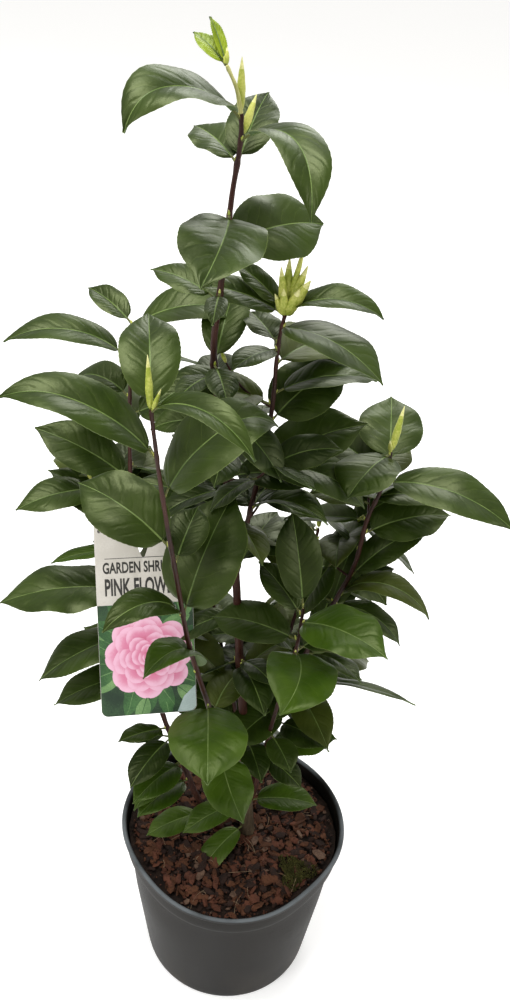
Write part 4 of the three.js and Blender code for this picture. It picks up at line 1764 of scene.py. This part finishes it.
    def _tuft(self, rng: np.random.Generator) -> tuple[np.ndarray, np.ndarray]:
        """Shapes one tuft of the domed patch of moss.

        Args:
            rng: Where its shape and place come from.

        Returns:
            Its vertices and faces.
        """
        reach, turn = self.moss_radius * rng.random() ** 0.6, rng.uniform(0, 2 * np.pi)
        reach *= 0.75 + 0.25 * math.sin(3 * turn + 1)
        dome = 3.2 * (1 - (reach / self.moss_radius) ** 2)
        points = self._turned(TUFT * rng.uniform(0.7, 1.5), rng, 0.35)
        middle = np.array([*self.moss_at, self.level + dome + 0.8])
        return points + middle + np.array([reach * math.cos(turn), reach * math.sin(turn), 0.0]), TUFT_QUADS

    def make_litter(self) -> bpy.types.Object:
        """Scatters pale fibres and grows the patch of moss.

        Returns:
            One joined object.
        """
        rng = np.random.default_rng(self.seed + 1)
        sheaf = Sheaf("moss_and_fibres", CHIP_FINISHES)
        plan = [(self._fibre, SLOT_FIBRE)] * self.fibres + [(self._tuft, SLOT_MOSS)] * self.tufts
        for shape, slot in plan:
            points, quads = shape(rng)
            sheaf.add(points * MM, quads, np.full(len(quads), slot), plain_spots(points))
        return sheaf.to_object(self.materials)


# ------------------------------------------------------------------ the label
@dataclass(frozen=True)
class PetalFinish:
    """Printed petals, deep at the base and pale at the rim."""

    name: str = "printed_petal"
    base: Colour = (0.52, 0.085, 0.17)
    middle: Colour = (0.66, 0.21, 0.34)
    rim: Colour = (0.80, 0.46, 0.60)

    def material(self) -> bpy.types.Material:
        """Builds the node material.

        Returns:
            The material.
        """
        c = Canvas(self.name)
        across, along = c.across_and_along()
        streak = c.noise(520.0, 3.0)
        edge = along + abs(across - 0.5) * 0.5 + streak * 0.16 - 0.08
        colour = c.mix(edge.rising(0.12, 0.72), self.base, self.middle)
        colour = c.mix(edge.rising(0.66, 1.05), colour, self.rim)
        return c.finish(Base_Color=colour, Roughness=streak * 0.08 + 0.28, Coat_Weight=0.25)


CARD = CardFinish("card_white", (0.50, 0.47, 0.42), (0.57, 0.54, 0.49), 0.34)
PICTURE = CardFinish("picture_green", (0.010, 0.030, 0.014), (0.030, 0.075, 0.028), 0.30)
PICTURE_LEAF = CardFinish("picture_leaf", (0.022, 0.075, 0.022), (0.06, 0.16, 0.045), 0.30)
PICTURE_LIGHT = CardFinish("picture_light", (0.10, 0.21, 0.07), (0.20, 0.34, 0.13), 0.30)
# painted reflection: the pale blue-grey glare on the picture's lower right corner, not part of the print
LABEL_GLARE = CardFinish("label_glare_painted", (0.34, 0.43, 0.42), (0.44, 0.53, 0.52), 0.30)
INK = CardFinish("ink_dark", (0.020, 0.019, 0.017), (0.034, 0.032, 0.028), 0.34)
INK_GREY = CardFinish("ink_grey", (0.10, 0.10, 0.09), (0.20, 0.19, 0.18), 0.34)
PETAL = PetalFinish()
LABEL_SLOTS = (CARD, PICTURE, PICTURE_LEAF, PICTURE_LIGHT, LABEL_GLARE, INK, INK_GREY, PETAL)
SLOT_PICTURE, SLOT_LEAF, SLOT_LIGHT, SLOT_GLARE = range(1, 5)
SLOT_GREY, SLOT_PETAL = 6, 7
FLOWER_RINGS = (  # reach, petals and their size in each ring
    (1.0, 8, 27), (0.86, 7, 25), (0.71, 7, 21), (0.56, 6, 18), (0.42, 5, 15), (0.29, 4, 12), (0.17, 3, 8),
)


@dataclass
class Label:
    """The leaning plant label: a card with an eye, and its print and a painted glare in thin relief.
    Millimetres.
    """

    materials: Materials
    width: float = 82.0
    height: float = 175.0
    thickness: float = 0.8
    corner: float = 6.0
    middle: tuple[float, float, float] = (-87.0, -15.0, 470.0)
    lean: float = 32.0
    turn: float = 11.0
    eye_height: float = 69.5
    eye_radius: float = 9.0
    eye_drop: float = 12.0
    picture_top: float = 9.0
    flower: tuple[float, float] = (2.0, -36.0)
    flower_radius: float = 37.0
    # the corners of the painted glare on the picture's lower right
    glare_patch: tuple[tuple[float, float], ...] = (
        (41.0, -64.0), (30.0, -74.0), (24.0, -87.5), (34.7, -87.5),
        (37.7, -86.2), (39.7, -84.2), (41.0, -81.2),
    )
    words: tuple[tuple[str, float, float, float, float], ...] = (
        ("winter hardy", 6.0, 0.80, -36.0, 78.0),
        ("evergreen plant", 6.0, 0.80, -38.0, 71.5),
        ("GARDEN SHRUB", 13.0, 0.62, -35.0, 36.5),
        ("PINK FLOWER", 20.0, 0.50, -34.0, 17.5),
    )

    def _settle(self, made: bpy.types.Object) -> bpy.types.Object:
        """Leans a flat piece into the label's place.

        Args:
            made: The piece, flat at the origin.

        Returns:
            The piece.
        """
        made.rotation_euler = (math.radians(90 - self.lean), 0.0, math.radians(self.turn))
        made.location = tuple(v * MM for v in self.middle)
        only(made)
        bpy.ops.object.transform_apply(location=True, rotation=True, scale=True)
        return made

    def make_card(self) -> bpy.types.Object:
        """Models the card with its rounded corners and drop-shaped eye.

        Returns:
            The card's object.
        """
        bpy.ops.object.select_all(action="DESELECT")
        bpy.ops.mesh.primitive_plane_add(size=1.0)
        card = bpy.context.object
        card.name = "label_card"
        with editing(card):
            bpy.ops.transform.resize(value=(self.width * MM, self.height * MM, 1.0))
            bpy.ops.mesh.bevel(affect="VERTICES", offset=self.corner * MM, segments=10)
            bpy.ops.mesh.extrude_region_move(TRANSFORM_OT_translate={"value": (0, 0, self.thickness * MM)})
            bpy.ops.mesh.select_all(action="SELECT")
            bpy.ops.transform.translate(value=(0, 0, -self.thickness * MM / 2))
            bpy.ops.mesh.normals_make_consistent(inside=False)
        bpy.ops.object.select_all(action="DESELECT")
        bpy.ops.mesh.primitive_cylinder_add(
            vertices=64, radius=self.eye_radius * MM, depth=6 * MM, location=(0, self.eye_height * MM, 0)
        )
        cutter = bpy.context.object
        bpy.ops.object.transform_apply(location=True, rotation=False, scale=False)
        low = (self.eye_height - self.eye_radius * 0.7) * MM
        for vertex in cutter.data.vertices:
            under = max(0.0, low - vertex.co.y) / (self.eye_radius * 0.3 * MM)
            vertex.co.y -= self.eye_drop * MM * under**1.2
            vertex.co.x *= 1 - 0.35 * under
        hole = card.modifiers.new("eye", "BOOLEAN")
        hole.object = cutter
        hole.solver = "EXACT"
        only(card)
        bpy.ops.object.modifier_apply(modifier="eye")
        bpy.data.objects.remove(cutter)
        edge = card.modifiers.new("edge", "BEVEL")
        edge.width = 0.18 * MM
        edge.segments = 2
        edge.limit_method = "ANGLE"
        only(card)
        bpy.ops.object.modifier_apply(modifier="edge")
        card.data.materials.append(self.materials[CARD.name])
        smooth_by_angle(card, 35.0)
        return self._settle(card)

    def _flat(
        self, sheaf: Sheaf, outline: np.ndarray, level: float, slot: int, thick: float = 0.12
    ) -> None:
        """Adds a flat printed shape with thin sides, unless nothing of it is left.

        Args:
            sheaf: Where it goes.
            outline: Its corners on the card, anticlockwise.
            level: How proud its face is of the card's face.
            slot: Its finish.
            thick: How thick it is.
        """
        count = len(outline)
        if count < 3:
            return
        face = self.thickness / 2 + level
        top = np.column_stack([outline, np.full(count, face)])
        under = np.column_stack([outline, np.full(count, face - thick)])
        middle = outline.mean(axis=0)
        points = np.vstack([top, under, [[*middle, face]], [[*middle, face - thick]]])
        now = np.arange(count)
        after = np.roll(now, -1)
        tops = np.stack([now, after, *[np.full(count, 2 * count)] * 2], axis=1)
        unders = np.stack([after + count, now + count, *[np.full(count, 2 * count + 1)] * 2], axis=1)
        sides = np.stack([now, now + count, after + count, after], axis=1)
        quads = np.concatenate([tops, unders, sides])
        sheaf.add(points * MM, quads, np.full(len(quads), slot), plain_spots(points))

    def _printed_leaf(
        self,
        sheaf: Sheaf,
        foot: np.ndarray,
        way: float,
        length: float,
        level: float,
        slots: tuple[int, int],
    ) -> None:
        """Adds a printed leaf with its midrib.

        Args:
            sheaf: Where it goes.
            foot: Where it starts on the card.
            way: Its direction in degrees.
            length: Its length.
            level: How proud it is.
            slots: The finishes of the leaf and of its midrib.
        """
        along = np.linspace(0, 1, 18)
        half = 0.24 * length * np.sin(np.pi * along**0.85) ** 0.8
        axis = heading(way)[:2]
        side = np.array([-axis[1], axis[0]])
        line = foot + along[:, None] * axis * length
        outline = np.vstack([line - half[:, None] * side, (line + half[:, None] * side)[::-1][1:-1]])
        self._flat(sheaf, self._kept(outline), level, slots[0])
        rib = 0.35 * (1 - along)[:, None] + 0.08
        ribs = np.vstack([line - rib * side, (line + rib * side)[::-1]])
        self._flat(sheaf, self._kept(ribs), level + 0.02, slots[1], 0.08)

    def _kept(self, outline: np.ndarray) -> np.ndarray:
        """Cuts an outline off along the four edges of the picture.

        Args:
            outline: Its corners on the card.

        Returns:
            The corners of what is left.
        """
        half = self.width / 2 - 0.5
        for axis, side, limit in (
            (0, 1, half), (0, -1, half), (1, 1, self.picture_top - 0.3), (1, -1, self.height / 2 - 0.5)
        ):
            kept = []
            for here, there in zip(outline, np.roll(outline, -1, axis=0), strict=True):
                now, then = limit - side * here[axis], limit - side * there[axis]
                if now >= 0:
                    kept.append(here)
                if (now >= 0) != (then >= 0):
                    kept.append(here + (there - here) * now / (now - then))
            outline = np.array(kept).reshape(-1, 2)
        return outline

    def make_print(self) -> bpy.types.Object:
        """Models the picture of a flower among leaves, a painted glare on its lower right corner, and a
        rule above it, as thin relief.

        Returns:
            One joined object.
        """
        sheaf = Sheaf("label_print", LABEL_SLOTS)
        half, low, radius = self.width / 2 - 0.25, -self.height / 2 + 0.25, self.corner
        arc = np.radians(np.linspace(180, 270, 9))
        corner = np.stack([np.cos(arc), np.sin(arc)], axis=1) * radius
        left = corner + np.array([-half + radius, low + radius])
        right = left[::-1] * np.array([-1, 1])
        panel = np.vstack([[[half, self.picture_top]], [[-half, self.picture_top]], left, right])
        self._flat(sheaf, panel, 0.03, SLOT_PICTURE)
        rng = np.random.default_rng(11)
        for step in range(26):
            turn = step * GOLDEN
            reach = self.flower_radius * rng.uniform(0.45, 0.95)
            foot = np.array(self.flower) + reach * heading(turn)[:2] * (1.0, 1.25)
            slots = (SLOT_LEAF, SLOT_LIGHT) if step % 3 else (SLOT_LIGHT, SLOT_LEAF)
            way, length = turn + rng.uniform(-35, 35), rng.uniform(26, 40)
            self._printed_leaf(sheaf, foot, way, length, 0.045 + 0.002 * step, slots)
        # painted glare on the picture's lower right corner
        self._flat(sheaf, self._kept(np.array(self.glare_patch)), 0.11, SLOT_GLARE)
        self._add_flower(sheaf)
        rule = np.array([[-33.0, 48.6], [33.0, 48.6], [33.0, 49.3], [-33.0, 49.3]])
        self._flat(sheaf, rule, 0.03, SLOT_GREY)
        return self._settle(sheaf.to_object(self.materials))

    def _add_flower(self, sheaf: Sheaf) -> None:
        """Adds the rosette: rings of overlapping petals, smaller and higher towards the middle.

        Args:
            sheaf: Where it goes.
        """
        rng = np.random.default_rng(4)
        for index, (share, count, size) in enumerate(FLOWER_RINGS):
            for step in range(count):
                shifted = step + 0.5 * (index % 2) + rng.uniform(-0.16, 0.16)
                turn = 2 * np.pi * shifted / count + 0.23 * index
                tip = (share + rng.uniform(-0.035, 0.03)) * self.flower_radius
                level = 0.12 + 0.055 * index + 0.014 * (step % 3)
                self._add_petal(sheaf, turn, tip, size * rng.uniform(0.88, 1.1), level)

    def _add_petal(self, sheaf: Sheaf, turn: float, tip: float, size: float, level: float) -> None:
        """Adds one round petal.

        Args:
            sheaf: Where it goes.
            turn: The petal's direction from the flower's middle, in radians.
            tip: How far out its rim is.
            size: Its width.
            level: How proud it is.
        """
        rows, columns = 10, 9
        along = np.sin(np.linspace(0, np.pi / 2, rows))[:, None]
        across = np.linspace(-1, 1, columns)[None, :]
        half = 0.5 * size * (0.12 + 0.88 * np.sqrt(1 - np.clip((along - 0.42) / 0.58, -1, 1) ** 2))
        x = tip - size * 0.86 * (1 - along) - 0.02 * size * np.cos(3 * np.pi * across) * along
        y = half * across
        face = self.thickness / 2 + level + 0.05 * (1 - across**2) * np.ones_like(along)
        c, s = math.cos(turn), math.sin(turn)
        top = np.stack([self.flower[0] + c * x - s * y, self.flower[1] + s * x + c * y, face], axis=-1)
        points = np.concatenate([top.reshape(-1, 3), top.reshape(-1, 3) - np.array([0, 0, 0.16])])
        spots = np.stack([np.broadcast_to(part, x.shape) for part in (across * 0.5 + 0.5, along)], axis=-1)
        spots = np.concatenate([spots.reshape(-1, 2)] * 2)
        quads = np.concatenate(slab_quads(rows, columns))[:, ::-1]
        sheaf.add(points * MM, quads, np.full(len(quads), SLOT_PETAL), spots)

    def make_words(self) -> bpy.types.Object:
        """Sets the plain words on the card's upper half.

        Returns:
            One joined object.
        """
        lines = []
        for words, size, narrow, left, low in self.words:
            bpy.ops.object.select_all(action="DESELECT")
            bpy.ops.object.text_add(location=(left * MM, low * MM, (self.thickness / 2 + 0.06) * MM))
            line = bpy.context.object
            line.data.body = words
            line.data.size = size * MM
            line.data.extrude = 0.06 * MM
            line.data.offset = 0.028 * size * MM
            line.data.resolution_u = 3
            line.scale.x = narrow
            bpy.ops.object.convert(target="MESH")
            lines.append(bpy.context.object)
        for line in lines:
            line.select_set(True)
        bpy.ops.object.join()
        made = bpy.context.object
        bpy.ops.object.transform_apply(location=True, rotation=True, scale=True)
        made.name = "label_words"
        made.data.materials.clear()
        made.data.materials.append(self.materials[INK.name])
        return self._settle(made)


# ------------------------------------------------------------------ the studio
@dataclass(frozen=True)
class Lamp:
    """One soft round lamp: where it hangs, the point it faces, its width and its watts."""

    name: str
    place: tuple[float, float, float]
    aim: tuple[float, float, float]
    size: float
    power: float

    def hang(self) -> None:
        """Puts the lamp in the scene."""
        data = bpy.data.lights.new(self.name, "AREA")
        data.shape = "DISK"
        data.size = self.size
        data.energy = self.power
        lamp = add_to_scene(self.name, data)
        gap = np.array(self.aim) - np.array(self.place)
        tilt = math.atan2(math.hypot(gap[0], gap[1]), -gap[2])
        lamp.rotation_euler = (tilt, 0.0, math.atan2(gap[1], gap[0]) - math.pi / 2)
        lamp.location = self.place


@dataclass
class Studio:
    """A pale floor, soft lamps and the camera. Lengths are in metres."""

    eye: tuple[float, float, float] = (0.0, -0.70, 1.09)
    down: float = 35.7
    lean: float = 3.9
    lens: float = 38.52
    floor_size: float = 24.0
    sky: Colour = (1.0, 0.985, 0.96)
    sky_strength: float = 0.60
    lamps: tuple[Lamp, ...] = (
        Lamp("overhead", (-0.40, -0.1, 2.8), (0.0, 0.0, 0.5), 1.35, 54.0),
        Lamp("front_left", (-1.9, -1.7, 2.1), (0.0, 0.0, 0.45), 1.0, 20.0),
        Lamp("right", (2.1, -0.7, 1.7), (0.0, 0.0, 0.45), 1.0, 12.0),
        Lamp("behind", (0.4, 2.2, 2.1), (0.0, 0.0, 0.5), 1.4, 26.0),
    )

    def make_camera(self) -> None:
        """Sets up the camera that looks down on the shrub."""
        data = bpy.data.cameras.new("camera")
        data.lens = self.lens
        data.sensor_width = 36.0
        data.clip_end = 100.0
        camera = add_to_scene("camera", data)
        camera.rotation_mode = "ZXY"
        camera.rotation_euler = (math.radians(90 - self.down), 0.0, math.radians(self.lean))
        camera.location = self.eye
        bpy.context.scene.camera = camera

    def make_lights(self) -> None:
        """Hangs the lamps and sets the sky."""
        for lamp in self.lamps:
            lamp.hang()
        world = bpy.data.worlds.new("pale_sky")
        world.use_nodes = True
        background = world.node_tree.nodes["Background"]
        background.inputs["Color"].default_value = (*self.sky, 1.0)
        background.inputs["Strength"].default_value = self.sky_strength
        bpy.context.scene.world = world
        bpy.context.scene.view_settings.view_transform = "Standard"

    def make_floor(self, materials: Materials) -> None:
        """Lays the floor.

        Args:
            materials: Every finish's material, by name.
        """
        bpy.ops.object.select_all(action="DESELECT")
        bpy.ops.mesh.primitive_plane_add(size=self.floor_size, location=(0, 0, 0))
        floor = bpy.context.object
        floor.name = "floor"
        floor.data.materials.append(materials[StudioFinish.name])


# ------------------------------------------------------------------ putting it together
def hand_over(piece: bpy.types.Object, slot: str, *nodes: str) -> None:
    """Rides a piece on the only body and hides the frame's nodes that it replaces.

    Args:
        piece: The piece.
        slot: The record's material slot. Not used.
        nodes: The frame's nodes that it replaces.
    """
    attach(piece, ROOT)
    if nodes:
        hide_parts(*nodes)
    LOG.info("%s: %d faces", piece.name, len(piece.data.polygons))


def main() -> None:
    """Builds the studio, the pot, the compost, the label and the shrub in turn."""
    logging.basicConfig(level=logging.INFO, format="%(name)s %(message)s")
    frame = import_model()
    finishes = (
        *LEAF_SLOTS, BARK, OLD_BARK, YOUNG_BARK,
        PotFinish(), *CHIP_FINISHES, SOIL, *LABEL_SLOTS, StudioFinish(),
    )
    materials = {finish.name: finish.material() for finish in finishes}
    studio = Studio()
    studio.make_camera()
    studio.make_lights()
    studio.make_floor(materials)

    pot_low, pot_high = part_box("pot")
    pot = Pot(materials, (pot_high.z - pot_low.z) / MM, (pot_high.x - pot_low.x) / 2 / MM)
    hand_over(pot.make(), "pot", "pot")
    _, soil_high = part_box("compost")
    compost = Compost(materials, soil_high.z / MM, soil_high.x / MM - 0.4)
    hand_over(compost.make_bed(), "compost", "compost")
    hand_over(compost.make_chips(), "compost")
    hand_over(compost.make_litter(), "compost")
    label = Label(materials)
    hand_over(label.make_card(), "label", "label")
    hand_over(label.make_print(), "label")
    hand_over(label.make_words(), "label")

    shrub = Shrub(frame["nodes"], materials)
    for shoot in SHOOTS:
        hand_over(shrub.make_stem(shoot), "bark", shoot.limb)
        hand_over(shrub.make_leaves(shoot), "foliage", *[f"{mass}_foliage" for mass in shoot.masses])
    hand_over(shrub.make_twigs(), "bark")
    hand_over(shrub.make_buds(), "foliage")


if __name__ == "__main__":
    main()
